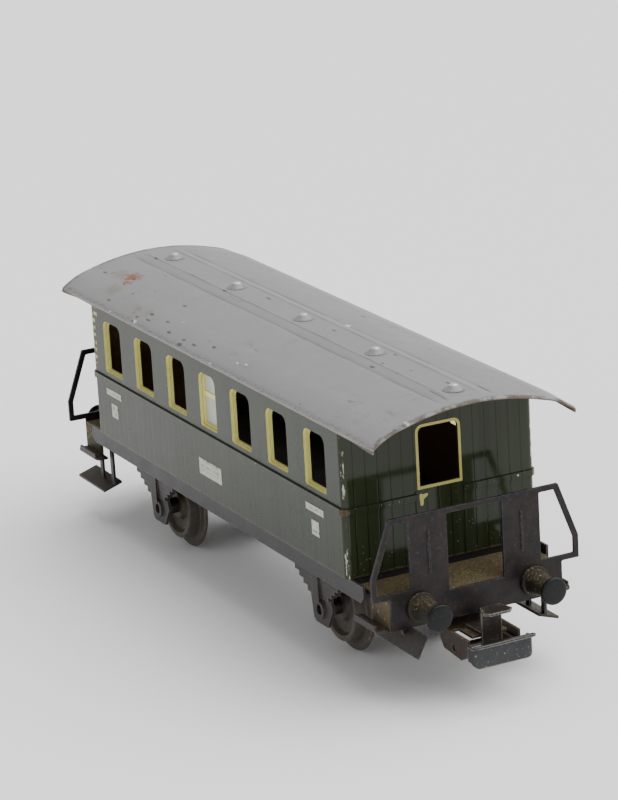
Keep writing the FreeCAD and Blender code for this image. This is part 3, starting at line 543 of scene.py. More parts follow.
looks = {
    "wall": wallMaterial(),
    "yellow": yellowMaterial("printedYellow", tone(236, 234, 150), tone(206, 198, 108), 0.3),
    "golden": yellowMaterial("goldenYellow", tone(186, 178, 104), tone(150, 140, 72), 0.5),
    "inside": insideMaterial(),
    "roof": roofMaterial("roofGrey", False),
    "vent": roofMaterial("ventGrey", True),
    "pane": paneMaterial(),
    "plaque": plaqueMaterial(),
    "frame": paintedMetal("frameLacquer", tone(36, 34, 37), tone(46, 43, 45), tone(70, 60, 44),
                          tone(62, 44, 34), 0.2, 0.12, 0.01, tone(96, 92, 88), 0.4, 0.34),
    "guard": paintedMetal("guardLacquer", tone(34, 32, 33), tone(46, 42, 41), tone(66, 56, 40),
                          tone(62, 42, 30), 0.3, 0.2, 0.02, tone(104, 98, 90), 0.5, 0.36),
    "platform": paintedMetal("platformDust", tone(66, 58, 46), tone(96, 84, 62), tone(128, 114, 80),
                             tone(92, 70, 48), 1.2, 0.3, 0.6, tone(110, 98, 76), 0.4, 0.5, 3.6, 0.3,
                             speckSize=0.4, speckScale=1.7, grit=tone(170, 152, 104)),
    "railing": paintedMetal("railingLacquer", tone(12, 12, 16), tone(40, 33, 32), tone(52, 44, 34),
                            tone(58, 40, 34), 0.25, 0.3, 0.4, tone(70, 70, 72), 0.35, 0.32, mirror=0.22,
                            calm=barMask, speckSize=0.22, speckScale=3.2, mottleScale=0.5,
                            grit=tone(156, 146, 122)),
    "barrel": paintedMetal("bufferBarrel", tone(24, 23, 19), tone(40, 37, 28), tone(54, 48, 34),
                           tone(42, 32, 24), 0.6, 0.2, 0.35, tone(84, 80, 68), 0.45, 0.42, 2.6, 0.06,
                           mirror=0.25, speckSize=0.26, speckScale=2.2),
    "head": paintedMetal("bufferHead", tone(10, 11, 12), tone(20, 21, 22), tone(52, 48, 36),
                         tone(30, 26, 22), 0.15, 0.08, 0.04, tone(52, 52, 52), 0.3, 0.36, mirror=0.22,
                         speckSize=0.14),
    "wheel": paintedMetal("wheelMetal", tone(66, 61, 55), tone(86, 78, 69), tone(96, 84, 66),
                          tone(92, 68, 50), 0.3, 0.25, 0.04, tone(140, 132, 122), 0.5, 0.36),
    "axle": paintedMetal("axleSteel", tone(64, 61, 58), tone(86, 82, 77), tone(70, 62, 46),
                         tone(76, 54, 38), 0.2, 0.25, 0.02, tone(132, 128, 122), 0.5, 0.34, metal=0.8),
    "coupler": paintedMetal("couplerSteel", tone(40, 33, 29), tone(58, 47, 40), tone(78, 64, 42),
                            tone(68, 42, 28), 0.6, 0.3, 0.06, tone(124, 112, 98), 0.55, 0.36),
    "loop": paintedMetal("loopSteel", tone(42, 45, 48), tone(56, 57, 58), tone(66, 58, 44),
                         tone(76, 56, 42), 0.12, 0.1, 0.02, tone(158, 150, 136), 0.6, 0.28, metal=0.3),
    "hook": paintedMetal("hookSteel", tone(36, 35, 36), tone(56, 50, 45), tone(66, 54, 38),
                         tone(70, 46, 32), 0.3, 0.25, 0.04, tone(176, 170, 160), 0.75, 0.28, metal=0.35),
    "step": paintedMetal("stepLacquer", tone(30, 28, 29), tone(46, 42, 39), tone(70, 58, 40),
                         tone(66, 44, 30), 0.4, 0.22, 0.03, tone(96, 90, 84), 0.4, 0.34),
}
print(len(looks), "materials made")

# Mesh helpers; shapes are worked out in millimetres


def gridFaces(rows, columns, closeRows=False, closeColumns=False):
    r, c = np.meshgrid(np.arange(rows if closeRows else rows - 1),
                       np.arange(columns if closeColumns else columns - 1), indexing="ij")
    nextR, nextC = (r + 1) % rows, (c + 1) % columns
    return np.stack([r * columns + c, r * columns + nextC, nextR * columns + nextC, nextR * columns + c],
                    -1).reshape(-1, 4)


# Each corner becomes a curve from the point Radius before it to the point Radius after it, bent towards the
# corner: (1-t)(1-t) A + 2t(1-t) P + t t B.
def roundedPath(corners, radii, steps=5, closed=True):
    p = np.array(corners, float)
    d = np.broadcast_to(np.array(radii, float), len(p)).copy()
    before, after = np.roll(p, 1, 0), np.roll(p, -1, 0)
    if not closed:
        before[0], after[-1] = p[0], p[-1]
        d[0] = d[-1] = 0
    toA, toB = before - p, after - p
    lenA, lenB = np.linalg.norm(toA, axis=1), np.linalg.norm(toB, axis=1)
    d = np.minimum(d, 0.48 * np.minimum(np.where(lenA > 0, lenA, lenB), np.where(lenB > 0, lenB, lenA)))
    a = p + toA / np.maximum(lenA, 1e-9)[:, None] * d[:, None]
    b = p + toB / np.maximum(lenB, 1e-9)[:, None] * d[:, None]
    t = np.linspace(0, 1, steps)[None, :, None]
    curve = (1 - t) ** 2 * a[:, None] + 2 * t * (1 - t) * p[:, None] + t ** 2 * b[:, None]
    return curve.reshape(-1, p.shape[1])


# Outline (u, v) on the plane through origin spanned by along and across, half of thick to either side.
def slabShape(outline, origin, along, across, thick):
    outline = np.asarray(outline, float)
    along, across = np.asarray(along, float), np.asarray(across, float)
    normal = np.cross(along, across)
    flat = np.asarray(origin, float) + outline[:, :1] * along + outline[:, 1:2] * across
    points = np.concatenate([flat - normal * thick / 2, flat + normal * thick / 2])
    n = len(outline)
    i = np.arange(n)
    walls = np.stack([i, (i + 1) % n, (i + 1) % n + n, i + n], -1).tolist()
    return points, walls + [list(range(n - 1, -1, -1)), list(range(n, 2 * n))]


# Flat frame between two outlines of equal count.
def ringShape(outer, inner, origin, along, across, thick):
    normal = np.cross(along, across)
    loops = []
    for outline, level in ((outer, -0.5), (outer, 0.5), (inner, 0.5), (inner, -0.5)):
        outline = np.asarray(outline, float)
        loops.append(np.asarray(origin, float) + outline[:, :1] * np.asarray(along, float)
                     + outline[:, 1:2] * np.asarray(across, float) + normal * thick * level)
    return np.concatenate(loops), gridFaces(4, len(outer), True, True)


# Profile (radius, height) turned about an axis a through centre: centre + height a + radius (cos e1 + sin
# e2).
def latheShape(profile, centre, axis, turn=72, closed=False):
    profile = np.asarray(profile, float)
    a = np.eye(3)["xyz".index(axis)]
    e1, e2 = np.roll(a, 1), np.roll(a, 2)
    angle = np.arange(turn) * 2 * math.pi / turn
    circle = np.cos(angle)[:, None] * e1 + np.sin(angle)[:, None] * e2
    points = np.asarray(centre, float) + profile[:, 1][:, None, None] * a + profile[:, 0][:, None,
                                                                                          None] * circle
    return points.reshape(-1, 3), gridFaces(len(profile), turn, closed, True)


# Doubles merged, stray faces dropped and faces turned outwards.
def tidyMesh(mesh):
    gap = 1e-6
    work = bmesh.new()
    work.from_mesh(mesh)
    bmesh.ops.remove_doubles(work, verts=work.verts, dist=gap)
    bmesh.ops.dissolve_degenerate(work, dist=gap, edges=work.edges)
    bmesh.ops.recalc_face_normals(work, faces=work.faces)
    work.to_mesh(mesh)
    work.free()


sharpAngle = math.radians(28)  # faces that lean apart by more get a rounded edge


def addBevel(piece, width, segments=2, weighted=False):
    bevel = piece.modifiers.new("Bevel", "BEVEL")
    bevel.width = width * mm
    bevel.segments = segments
    bevel.limit_method = "WEIGHT" if weighted else "ANGLE"
    bevel.angle_limit = sharpAngle
    bevel.use_clamp_overlap = True
    even = piece.modifiers.new("Even normals", "WEIGHTED_NORMAL")
    even.keep_sharp = False


def placePiece(piece, body, material, nodes=()):
    bpy.context.scene.collection.objects.link(piece)
    piece.data.materials.clear()
    for item in material if isinstance(material, list) else [material]:
        piece.data.materials.append(item)
    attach(piece, body)
    if nodes:
        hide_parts(*nodes)
    return piece


def newPiece(name, shape, body, material, nodes=(), smooth=35, bevel=0.0):
    points, faces = shape
    mesh = bpy.data.meshes.new(name)
    mesh.from_pydata((np.asarray(points, float).reshape(-1, 3) * mm).tolist(), [],
                     [list(map(int, face)) for face in faces])
    mesh.validate()
    tidyMesh(mesh)
    mesh.shade_smooth()
    if bevel:
        piece = bpy.data.objects.new(name, mesh)
        addBevel(piece, bevel)
    else:
        mesh.set_sharp_from_angle(angle=math.radians(smooth))
        piece = bpy.data.objects.new(name, mesh)
    return placePiece(piece, body, material, nodes)


# One row of three for each face, such as its centre or its normal.
def faceValues(mesh, kind):
    values = np.zeros(len(mesh.polygons) * 3, np.float32)
    mesh.polygons.foreach_get(kind, values)
    return values.reshape(-1, 3)


def bodyOf(node):
    return next(name for name, members in frame["record"]["behaviour"]["bodies"].items() if node in members)


# Copy of a node with its flats merged to whole faces and its edges rounded.
def finishedCopy(node, material, bevel=0.08, segments=2, weight=None, indexer=None, keep=None):
    mesh = frame["nodes"][node].data.copy()
    mesh.name = node + "_finished"
    work = bmesh.new()
    work.from_mesh(mesh)
    bmesh.ops.remove_doubles(work, verts=work.verts, dist=2e-6)
    bmesh.ops.dissolve_limit(work, angle_limit=math.radians(1.0), verts=work.verts, edges=work.edges)
    bmesh.ops.recalc_face_normals(work, faces=work.faces)
    if keep:
        extra = [face for face in work.faces if not keep(face.calc_center_median() / mm)]
        bmesh.ops.delete(work, geom=extra, context="FACES")
    work.to_mesh(mesh)
    work.free()
    if mesh.has_custom_normals:
        mesh.normals_split_custom_set([(0, 0, 0)] * len(mesh.loops))
    mesh.shade_smooth()
    piece = bpy.data.objects.new(node + "_finished", mesh)
    placePiece(piece, bodyOf(node), material, [node])
    if indexer:
        index = indexer(faceValues(mesh, "center") / mm, faceValues(mesh, "normal"))
        mesh.polygons.foreach_set("material_index", index.astype(np.int32))
    if weight:
        weights = mesh.attributes.new("bevel_weight_edge", "FLOAT", "EDGE")
        weights.data.foreach_set("value", edgeWeights(mesh, weight))
    addBevel(piece, bevel, segments, weighted=bool(weight))
    return piece


# Weight of each edge = rule(middle, direction) where its two faces differ by over 28 degrees, else none.
def edgeWeights(mesh, rule):
    loopEdge = np.zeros(len(mesh.loops), np.int32)
    mesh.loops.foreach_get("edge_index", loopEdge)
    total = np.zeros(len(mesh.polygons), np.int32)
    mesh.polygons.foreach_get("loop_total", total)
    face = np.repeat(np.arange(len(total)), total)
    normal = faceValues(mesh, "normal")
    order = np.argsort(loopEdge, kind="stable")
    edge, face = loopEdge[order], face[order]
    pair = np.flatnonzero(edge[1:] == edge[:-1])
    dots = np.ones(len(mesh.edges))
    dots[edge[pair]] = (normal[face[pair]] * normal[face[pair + 1]]).sum(1)
    ends = np.zeros(len(mesh.edges) * 2, np.int32)
    mesh.edges.foreach_get("vertices", ends)
    co = np.zeros(len(mesh.vertices) * 3, np.float32)
    mesh.vertices.foreach_get("co", co)
    co = co.reshape(-1, 3) / mm
    a, b = co[ends[0::2]], co[ends[1::2]]
    direction = (b - a) / np.maximum(np.linalg.norm(b - a, axis=1), 1e-9)[:, None]
    return (rule((a + b) / 2, direction) * (dots < math.cos(sharpAngle))).astype(np.float32)


shellShape = {"bevel": 0.3, "edge": 0.25, "beadMiddle": 26.4, "beadReach": (42.9, 15.5),
              "endWall": 42.65, "sideWall": 15.25, "tray": (14.36, 15.2), "windows": (27.2, 36.6, 41.5),
              "insideEnd": 42.0, "insideSide": 13, "trayBack": (14.0, 14.86)}


# 0 green outside, 1 light yellow recess wall, 2 golden recess floor, 3 inside.
def shellFinish(centre, normal):
    x, y, z = np.abs(centre[:, 0]), np.abs(centre[:, 1]), centre[:, 2]
    outwardY = normal[:, 1] * np.sign(centre[:, 1])
    outwardX = normal[:, 0] * np.sign(centre[:, 0])
    index = np.zeros(len(centre), int)
    bottom, top, reach = shellShape["windows"]
    inWindow = (z > bottom) & (z < top) & (x < reach)
    low, high = shellShape["tray"]
    index[inWindow & (y < high) & (y > low) & (np.abs(outwardY) < 0.5)] = 1
    index[inWindow & (y < high) & (y > low) & (outwardY > 0.5)] = 2
    index[(outwardY < -0.5) & (y > shellShape["insideSide"])] = 3
    index[(outwardX < -0.5) & (x > shellShape["insideEnd"])] = 3
    near, far = shellShape["trayBack"]
    index[(y < far) & (y > near) & (outwardY < -0.5)] = 3
    return index


def shellWeight(middle, direction):
    beadX, beadY = shellShape["beadReach"]
    onBead = np.abs(middle[:, 2] - shellShape["beadMiddle"]) < 0.6
    onBead &= (np.abs(middle[:, 0]) > beadX) | (np.abs(middle[:, 1]) > beadY)
    return np.where(onBead, 1.0, shellShape["edge"])


finishedCopy("body_shell", [looks["wall"], looks["yellow"], looks["golden"],
                                             looks["inside"]], shellShape["bevel"], 3, shellWeight,
             shellFinish)
print("body shell finished")


roofShape = {"half": 52.7, "crown": 42.38, "crownRadius": 43.0, "shoulder": (11.0, 40.95),
             "shoulderRadius": 12.0, "eave": (16.0, 38.75), "lip": 38.1, "band": (2.35, 4.05),
             "bandTop": 42.62, "crease": 0.1, "tin": 0.4, "shift": 0.8,
             "bandFade": ((-51.2, -46.5), (52.6, 48.5)), "droop": (0.35, 46.0), "dent": 0.035,
             "stations": 180, "crowd": 1.35, "rimShare": 0.3, "bandSteps": ((0, 2.0, 8), (2.2, 4.3, 22)),
             "sideStart": 4.6, "arcSteps": 22, "lipSteps": 4, "lipStart": 0.25, "lipEnd": 0.12}


def smoothStep(low, high, value):
    t = np.clip((value - low) / (high - low), 0, 1)
    return t * t * (3 - 2 * t)


# Half section from the ridge to the lip: crown arc, shoulder arc, then the upright lip.
def roofSection(inset):
    s = roofShape
    spans = s["bandSteps"] + ((s["sideStart"], s["shoulder"][0], s["arcSteps"]),)
    y1 = np.concatenate([np.linspace(*span) for span in spans])
    z1 = s["crown"] - (s["crownRadius"] - np.sqrt(s["crownRadius"] ** 2 - y1 ** 2))
    (ay, az), (by, bz), r = s["shoulder"], s["eave"], s["shoulderRadius"]
    chord = math.hypot(by - ay, bz - az)
    lift = math.sqrt(r * r - chord * chord / 4)
    cy, cz = (ay + by) / 2 + lift * (bz - az) / chord, (az + bz) / 2 - lift * (by - ay) / chord
    a0, a1 = math.atan2(az - cz, ay - cy), math.atan2(bz - cz, by - cy)
    angle = np.linspace(a0, a1, s["arcSteps"])[1:]
    y = np.concatenate([y1, cy + r * np.cos(angle)])
    z = np.concatenate([z1, cz + r * np.sin(angle)])
    tangent = np.gradient(np.stack([y, z], 1), axis=0)
    tangent /= np.linalg.norm(tangent, axis=1)[:, None]
    y, z = y + tangent[:, 1] * inset, z - tangent[:, 0] * inset
    lipY = np.full(s["lipSteps"], s["eave"][0] - inset)
    lipZ = np.linspace(s["eave"][1] - s["lipStart"], s["lip"] + s["lipEnd"], s["lipSteps"])
    keep = y < s["eave"][0] - inset - 0.02
    return np.concatenate([y[keep], lipY]), np.concatenate([z[keep], lipZ])


# Skin z(x, y) = section(y) + band(y) fade(x) + small dents - droop at the ends; the inside is the same set
# in by the tin, and rounded strips close the rim.
def buildRoof():
    s = roofShape
    outer, inner = (np.stack([np.concatenate([-y[:0:-1], y]), np.concatenate([z[:0:-1], z])], 1)
                    for y, z in (roofSection(0.0), roofSection(s["tin"])))
    edge, low = outer[-1, 0], s["lip"]
    tipRight = np.array([[edge - 0.09, low + 0.02], [edge - 0.2, low], [inner[-1, 0] + 0.09, low + 0.02]])
    tipLeft = tipRight[::-1] * (-1, 1)
    loop = np.concatenate([outer, tipRight, inner[::-1], tipLeft])
    t = np.linspace(-1, 1, s["stations"])
    x = s["half"] * np.sign(t) * (1 - (1 - np.abs(t)) ** s["crowd"])
    X, Y = np.meshgrid(x, loop[:, 0], indexing="ij")
    Z = np.broadcast_to(loop[:, 1], X.shape).copy()
    (rear0, rear1), (front0, front1) = s["bandFade"]
    fade = smoothStep(rear0, rear1, X + s["shift"]) * smoothStep(front0, front1, X + s["shift"])
    crown = s["crown"] - (s["crownRadius"] - np.sqrt(s["crownRadius"] ** 2 - np.clip(Y, -20, 20) ** 2))
    across = np.clip((s["band"][1] - np.abs(Y)) / (s["band"][1] - s["band"][0]), 0, 1)
    lift = (s["bandTop"] - crown) * across
    ridge = np.exp(-((np.abs(Y) - s["band"][0]) / 0.14) ** 2)
    gutter = np.exp(-((np.abs(Y) - s["band"][1] - 0.1) / 0.16) ** 2)
    Z += (lift + s["crease"] * (ridge - gutter)) * fade
    waves = np.sin(X * 0.31 + Y * 0.5) * np.sin(Y * 0.37 - X * 0.11 + 1.0)
    waves += 0.5 * np.sin(X * 0.9 + 2) * np.sin(Y * 0.8)
    calm = smoothStep(15.6, 13.0, np.abs(Y)) * (1 - fade * smoothStep(4.5, 3.5, np.abs(Y)))
    Z += s["dent"] * waves * calm * smoothStep(s["half"], 50, np.abs(X))
    droop, droopFrom = s["droop"]
    Z -= droop * smoothStep(droopFrom, s["half"], np.abs(X)) * (np.abs(Y) / s["eave"][0]) ** 2
    points = np.stack([X + s["shift"], Y, Z], -1)
    # end rims: pull the last stations together to half thickness so that the edge is round
    count = len(outer)
    partner = np.zeros(len(loop), int)
    partner[:count] = count + 3 + np.arange(count)[::-1]
    partner[count + 3:count + 3 + count] = np.arange(count)[::-1]
    partner[count:count + 3] = np.arange(count, count + 3)
    partner[count + 3 + count:] = np.arange(count + 3 + count, len(loop))
    for station in (0, -1):
        points[station] += (points[station][partner] - points[station]) * s["rimShare"]
    faces = gridFaces(len(x), len(loop), False, True).tolist()
    base = (len(x) - 1) * len(loop)
    i = np.arange(count - 1)
    for start in (0, base):
        strip = np.stack([start + i, start + i + 1, start + partner[i + 1], start + partner[i]], -1)
        faces += strip.tolist()
        faces.append([start + count - 1, start + count, start + count + 1, start + count + 2, start + count
                      + 3])
        faces.append([start + 2 * count + 2, start + 2 * count + 3, start + 2 * count + 4, start + 2
                      * count + 5, start])
    return points.reshape(-1, 3), faces


roofMesh = newPiece("roof_skin", buildRoof(), bodyOf("roof"),
                    [looks["roof"], looks["inside"]], ["roof"], smooth=50).data
underneath = faceValues(roofMesh, "normal")[:, 2] < -0.3
roofMesh.polygons.foreach_set("material_index", underneath.astype(np.int32))
print("roof skin built")

ventShape = {"pitch": 22.6, "shift": 2.7, "radius": 1.6, "height": 0.8, "foot": 42.7, "sink": 0.05,
             "steps": 18}
r, t = ventShape["radius"], np.linspace(0, 1, ventShape["steps"])
rise = ventShape["height"] * smoothStep(0, 0.85, t)
base = [(0, -ventShape["sink"]), (r, -ventShape["sink"])]
dome = np.concatenate([base, np.stack([r * (1 - t), rise], 1)])
for number, place in enumerate((-2, -1, 0, 1, 2), start=1):
    centre = (ventShape["shift"] + place * ventShape["pitch"], 0, ventShape["foot"])
    newPiece(f"vent_cap_{number}", latheShape(dome, centre, "z"), bodyOf("roof"),
             looks["vent"], [f"roof_vent_{number}"], smooth=60)
print("vents turned")


printShape = {"proud": 0.05, "doorOuter": (-3.58, 3.58, 27.42, 36.8),
              "doorInner": (-3.17, 3.17, 27.85, 36.4), "doorFootRound": 0.1, "doorOuterRound": 1.25,
              "doorInnerRound": 0.9, "handleRound": 0.12,
              "handle": ((-3.25, 25.1), (-3.0, 24.95), (-2.75, 25.2), (-2.72, 25.9), (-2.1, 26.3),
                         (-1.95, 26.6), (-2.2, 26.75), (-2.7, 26.6), (-3.2, 26.85), (-3.35, 26.5)),
              "post": (3.72, 0.5, 16.75, 27.2, 0.12), "postBevel": 0.05, "bar": (-2.95, 2.55, 32.3, 33.1),
              "barPlace": 14.46, "barThick": 0.12, "barBevel": 0.04,
              "plates": ((31.05, 36.44, 24.0, 25.0), (-38.1, -32.5, 24.0, 25.0), (32.6, 34.8, 20.6, 22.8),
                         (-36.5, -34.2, 20.6, 22.8), (-4.4, 3.2, 19.8, 22.3))}


def boxPath(low, high, bottom, top, round0, round1, steps=6):
    return roundedPath([(low, bottom), (high, bottom), (high, top), (low, top)],
                       [round0, round0, round1, round1], steps)


def rectangle(x0, x1, z0, z1):
    return [(x0, z0), (x1, z0), (x1, z1), (x0, z1)]


# Shape laid on a wall of the shell.
def printPiece(name, shape, look, bevel=0.0):
    newPiece(name, shape, "coach", looks[look], bevel=bevel)


endPlane, sidePlane, proud = ((0, 1, 0), (0, 0, 1)), ((1, 0, 0), (0, 0, 1)), printShape["proud"]
for endName, end in ends.items():
    origin = (end * (shellShape["endWall"] + proud / 2), 0, 0)
    outer, inner = (boxPath(*printShape[f"door{which}"], printShape["doorFootRound"],
                            printShape[f"door{which}Round"]) for which in ("Outer", "Inner"))
    printPiece(f"door_print_{endName}", ringShape(outer, inner, origin, *endPlane, proud), "golden")
    handle = roundedPath(np.array(printShape["handle"]) * (end, 1), printShape["handleRound"])
    printPiece(f"door_handle_print_{endName}", slabShape(handle, origin, *endPlane, proud), "golden")
    middle, wide, low, high, thick = printShape["post"]
    for sideName, side in sides.items():
        strip = rectangle(side * middle - wide / 2, side * middle + wide / 2, low, high)
        post = slabShape(strip, (end * (shellShape["endWall"] + thick / 2), 0, 0), *endPlane, thick)
        printPiece(f"door_post_{endName}_{sideName}", post, "wall", printShape["postBevel"])
for sideName, side in sides.items():
    origin = (0, side * (shellShape["sideWall"] + proud / 2), 0)
    # the far side carries the same plates turned half round
    for number, (x0, x1, z0, z1) in enumerate(printShape["plates"], start=1):
        plate = rectangle(*sorted((-side * x0, -side * x1)), z0, z1)
        printPiece(f"plate_{number}_{sideName}", slabShape(plate, origin, *sidePlane, proud), "plaque")
    x0, x1, z0, z1 = printShape["bar"]
    bar = slabShape(rectangle(*sorted((-side * x0, -side * x1)), z0, z1),
                    (0, side * printShape["barPlace"], 0), *sidePlane, printShape["barThick"])
    printPiece(f"window_bar_{sideName}", bar, "yellow", printShape["barBevel"])
print("prints laid")


finishedCopy("underframe", looks["frame"], 0.1)
for sideName in sides:
    paneSlots = frame["nodes"][f"toilet_pane_{sideName}"].data.materials
    paneSlots.clear()
    paneSlots.append(looks["pane"])


railingShape = {"round": 0.45, "edge": 0.22, "foot": 15.9}


# Bends of the railing, whose edges run along x, are rounded most.
def railingWeight(middle, direction):
    bend = (np.abs(direction[:, 0]) > 0.9) & (middle[:, 2] > railingShape["foot"])
    return np.where(bend, 1.0, railingShape["edge"])


boardShape = {"round": 0.85, "edge": 0.1, "upright": 0.25}


# Corners of a hanging board: edges as short as the board is thick, at either end of its length.
def boardWeight(middle, direction):
    length = np.abs(middle[:, 0])
    atEnd = (length > length.max() - 0.05) | (length < length.min() + 0.05)
    short = (np.abs(direction[:, 0]) < 0.1) & (np.abs(direction[:, 2]) > boardShape["upright"])
    return np.where(atEnd & short, 1.0, boardShape["edge"])


loopShape = {"face": 58.5, "half": 4.6, "back": 1.3, "low": 5.97, "high": 8.85, "flare": 1.22, "rise": 0.62,
             "wave": 0.2, "corner": 0.9, "bend": 0.55, "bendSteps": 9, "faceSteps": 60, "levels": 22,
             "upright": 0.55, "widen": 0.045, "tin": 0.4, "rimBevel": 0.08, "arm": (3.1, 3.7),
             "armEnd": 58.2}


# Bumper of the coupler. Plan: back along one side, across the face, back along the other. Height: upright
# to High, then flared by Flare (1 - cos a) outwards and Rise sin a upwards, a from 0 to 90 degrees, higher
# towards +y.
def buildLoop(end):
    s = loopShape
    plan = roundedPath([(s["face"] - s["back"], -s["half"]), (s["face"], -s["half"]), (s["face"], s["half"]),
                        (s["face"] - s["back"], s["half"])], s["bend"], s["bendSteps"], False)
    cut = np.linspace(-s["half"] + 0.6, s["half"] - 0.6, s["faceSteps"])
    across = np.stack([np.full(s["faceSteps"], s["face"]), cut], 1)
    plan = np.concatenate([plan[:2 * s["bendSteps"]], across, plan[2 * s["bendSteps"]:]])
    level = np.linspace(0, 1, s["levels"])
    x, y = plan[:, 0][:, None], plan[:, 1][:, None]
    onFace = smoothStep(s["face"] - 0.35, s["face"] - 0.02, x)
    turn = np.clip(np.abs(y) - s["half"] + s["corner"], 0, s["corner"]) / s["corner"]
    low = s["low"] + s["corner"] * (1 - np.sqrt(np.clip(1 - turn ** 2, 0, 1)))
    upright = np.clip(level / s["upright"], 0, 1)[None, :]
    bend = np.clip((level - s["upright"]) / (1 - s["upright"]), 0, 1)[None, :] * math.pi / 2
    wave = 1 + s["wave"] * np.sin(y * 0.55)
    X = x + onFace * s["flare"] * (1 - np.cos(bend)) * wave
    Y = y * (1 + s["widen"] * onFace * (1 - np.cos(bend)))
    Z = low + (s["high"] - low) * upright + (0.2 + 0.8 * onFace) * s["rise"] * np.sin(bend) * wave
    points = np.stack([end * X, np.broadcast_to(Y, X.shape), np.broadcast_to(Z, X.shape)], -1).reshape(-1, 3)
    return points, gridFaces(len(plan), len(level))


for endName, end in ends.items():
    finishedCopy(f"end_platform_{endName}", looks["platform"], 0.1)
    finishedCopy(f"end_railing_{endName}", looks["railing"], railingShape["round"], 3,
                 railingWeight)
    finishedCopy(f"coupler_shank_{endName}", looks["coupler"], 0.08)
    finishedCopy(f"coupler_hook_{endName}", looks["hook"], 0.12)
    near, far = loopShape["arm"]
    finishedCopy(f"coupler_loop_{endName}", looks["coupler"], 0.05,
                 keep=lambda centre: near < abs(centre.y) < far and abs(centre.x) < loopShape["armEnd"])
    face = newPiece(f"coupler_loop_face_{endName}", buildLoop(end), f"{endName}_loop",
                    looks["loop"], smooth=50)
    thick = face.modifiers.new("Tin", "SOLIDIFY")
    thick.thickness = loopShape["tin"] * mm
    thick.offset = 0
    rim = face.modifiers.new("Rim", "BEVEL")
    rim.width = loopShape["rimBevel"] * mm
    rim.segments = 2
    rim.angle_limit = math.radians(50)
    for node in ("loop_pin", "coupler_pivot"):
        finishedCopy(f"{node}_{endName}", looks["axle"], 0.05)
    for sideName in sides:
        finishedCopy(f"axle_guard_{endName}_{sideName}", looks["guard"], 0.12)
        finishedCopy(f"upper_step_{endName}_{sideName}", looks["step"], 0.1)
        finishedCopy(f"lower_step_{endName}_{sideName}", looks["step"],
                     boardShape["round"], 3, boardWeight)
print("frame pieces finished")


# Profiles are (radius, place along the axis); each has the radius that rounds every corner.
axleShape = {"x": 27.7, "z": 7.1, "turn": 48, "steps": 5,
             "profile": ((0, -12.1), (0.75, -12.1), (0.75, -11.5), (1.25, -11.5), (1.25, 11.5), (0.75, 11.5),
                         (0.75, 12.1), (0, 12.1)),
             "rounds": (0, 0.15, 0.08, 0.15, 0.15, 0.08, 0.15, 0)}
wheelShape = {"turn": 96, "steps": 4, "profile": ((1.25, 7.0), (2.2, 7.0), (2.2, 7.9), (4.4, 7.9),
                                                  (4.4, 7.0), (6.85, 7.0), (7.1, 7.3), (6.85, 7.6),
                                                  (5.63, 7.6), (5.43, 7.8), (5.31, 9.35), (5.13, 9.5),
                                                  (4.5, 9.5), (4.15, 8.5), (2.4, 8.5), (2.1, 9.3),
                                                  (1.25, 9.3)),
              "rounds": (0.02, 0.1, 0.15, 0.15, 0.1, 0.15, 0.2, 0.15, 0.15, 0.15, 0.15,
                         0.12, 0.15, 0.3, 0.3, 0.15, 0.02)}
bufferShape = {"y": 9.0, "z": 14.2, "turn": 72, "steps": 5, "headFrom": 57.15,
               "profile": ((0, 51.2), (0.8, 51.2), (0.8, 52.1), (2.2, 52.1), (2.2, 52.7), (1.8, 52.7),
                           (1.3, 57.2), (1.98, 57.2), (1.98, 57.7), (1.6, 57.88), (0.8, 57.95), (0, 57.95)),
               "rounds": (0, 0.05, 0.05, 0.18, 0.18, 0.15, 0.25, 0.15, 0.2, 0.2, 0.2, 0)}


def turnedPiece(name, s, way, centre, axis, body, material, node, closed=False, smooth=35):
    path = roundedPath(s["profile"], s["rounds"], s["steps"], closed)
    shape = latheShape(path * (1, way), centre, axis, s["turn"], closed)
    return newPiece(name, shape, body, material, [node], smooth=smooth)


for endName, end in ends.items():
    centre, wheelset = (end * axleShape["x"], 0, axleShape["z"]), f"{endName}_wheelset"
    turnedPiece(f"axle_turned_{endName}", axleShape, 1, centre, "y", wheelset, looks["axle"],
                f"axle_{endName}")
    for sideName, side in sides.items():
        corner = f"{endName}_{sideName}"
        turnedPiece(f"wheel_turned_{corner}", wheelShape, side, centre, "y", wheelset,
                    looks["wheel"], f"wheel_{corner}", closed=True, smooth=45)
        bufferCentre = (0, side * bufferShape["y"], bufferShape["z"])
        piece = turnedPiece(f"buffer_turned_{corner}", bufferShape, end, bufferCentre, "x", "coach",
                            [looks["barrel"], looks["head"]], f"buffer_{corner}", smooth=50)
        onHead = np.abs(faceValues(piece.data, "center")[:, 0]) > bufferShape["headFrom"] * mm
        piece.data.polygons.foreach_set("material_index", onHead.astype(np.int32))
print("wheels, axles and buffers turned")


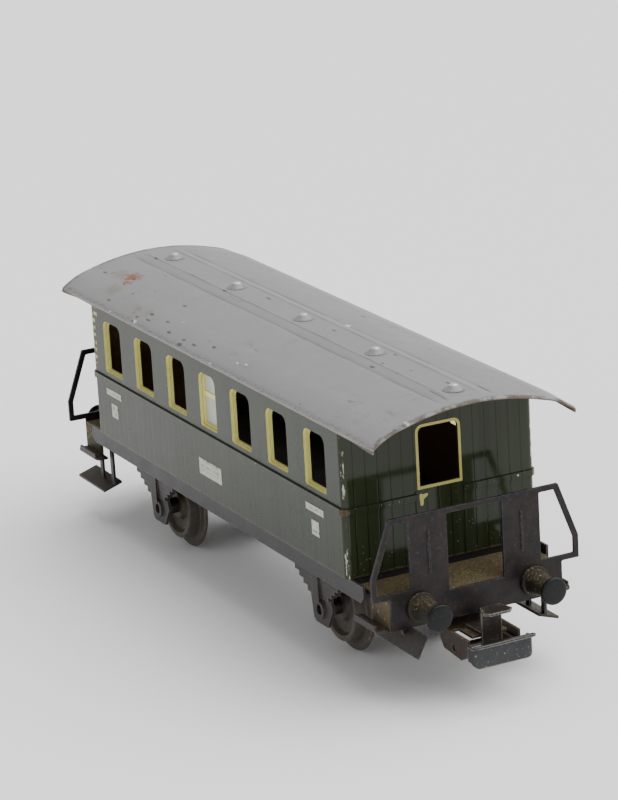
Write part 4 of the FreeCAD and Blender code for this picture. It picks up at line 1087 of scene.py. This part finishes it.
floorPlan = {"reach": 3.0, "tone": 0.95, "roughness": 0.7}
floorMesh = bpy.data.meshes.new("floor")
reach = floorPlan["reach"]
corners = [(-reach, -reach, 0), (reach, -reach, 0), (reach, reach, 0), (-reach, reach, 0)]
floorMesh.from_pydata(corners, [], [(0, 1, 2, 3)])
floor = bpy.data.objects.new("floor", floorMesh)
bpy.context.scene.collection.objects.link(floor)
floorMaterial, floorShader, _ = newMaterial("paleFloor")
floorShader.inputs["Base Color"].default_value = (floorPlan["tone"],) * 3 + (1,)
floorShader.inputs["Roughness"].default_value = floorPlan["roughness"]
floorMesh.materials.append(floorMaterial)

lightPlan = {"world": 0.68, "sun": 3.9, "soft": 75, "from": (0.25, 0.5, 1.0)}
world = bpy.data.worlds.new("studio")
bpy.context.scene.world = world
world.use_nodes = True
glow = world.node_tree.nodes["Background"].inputs
glow["Color"].default_value = (1, 1, 1, 1)
glow["Strength"].default_value = lightPlan["world"]
sun = bpy.data.lights.new("softSun", "SUN")
sun.energy = lightPlan["sun"]
sun.angle = math.radians(lightPlan["soft"])
sunObject = bpy.data.objects.new("softSun", sun)
sunObject.rotation_euler = Vector(lightPlan["from"]).to_track_quat("Z", "Y").to_euler()
bpy.context.scene.collection.objects.link(sunObject)

cameraPlan = {"azimuth": 63.93, "elevation": 16.7, "roll": -3.37, "place": (0.44179, -0.21549, 0.17826),
              "lens": 154.29, "sensor": 36, "near": 0.01, "shift": (0.0064, -0.0115)}
azimuth, elevation, roll = (math.radians(cameraPlan[k]) for k in ("azimuth", "elevation", "roll"))
level = math.cos(elevation)
back = np.array((math.sin(azimuth) * level, -math.cos(azimuth) * level, math.sin(elevation)))
right = np.array((math.cos(azimuth), math.sin(azimuth), 0))
up = np.cross(back, right)
right, up = math.cos(roll) * right + math.sin(roll) * up, -math.sin(roll) * right + math.cos(roll) * up
camera = bpy.data.objects.new("camera", bpy.data.cameras.new("camera"))
camera.data.sensor_width = cameraPlan["sensor"]
camera.data.lens = cameraPlan["lens"]
camera.data.shift_x, camera.data.shift_y = cameraPlan["shift"]
camera.data.clip_start = cameraPlan["near"]
turnMatrix = Matrix(np.stack([right, up, back], 1).tolist()).to_4x4()
camera.matrix_world = Matrix.Translation(cameraPlan["place"]) @ turnMatrix
bpy.context.scene.collection.objects.link(camera)
bpy.context.scene.camera = camera
print("floor, light and camera set")
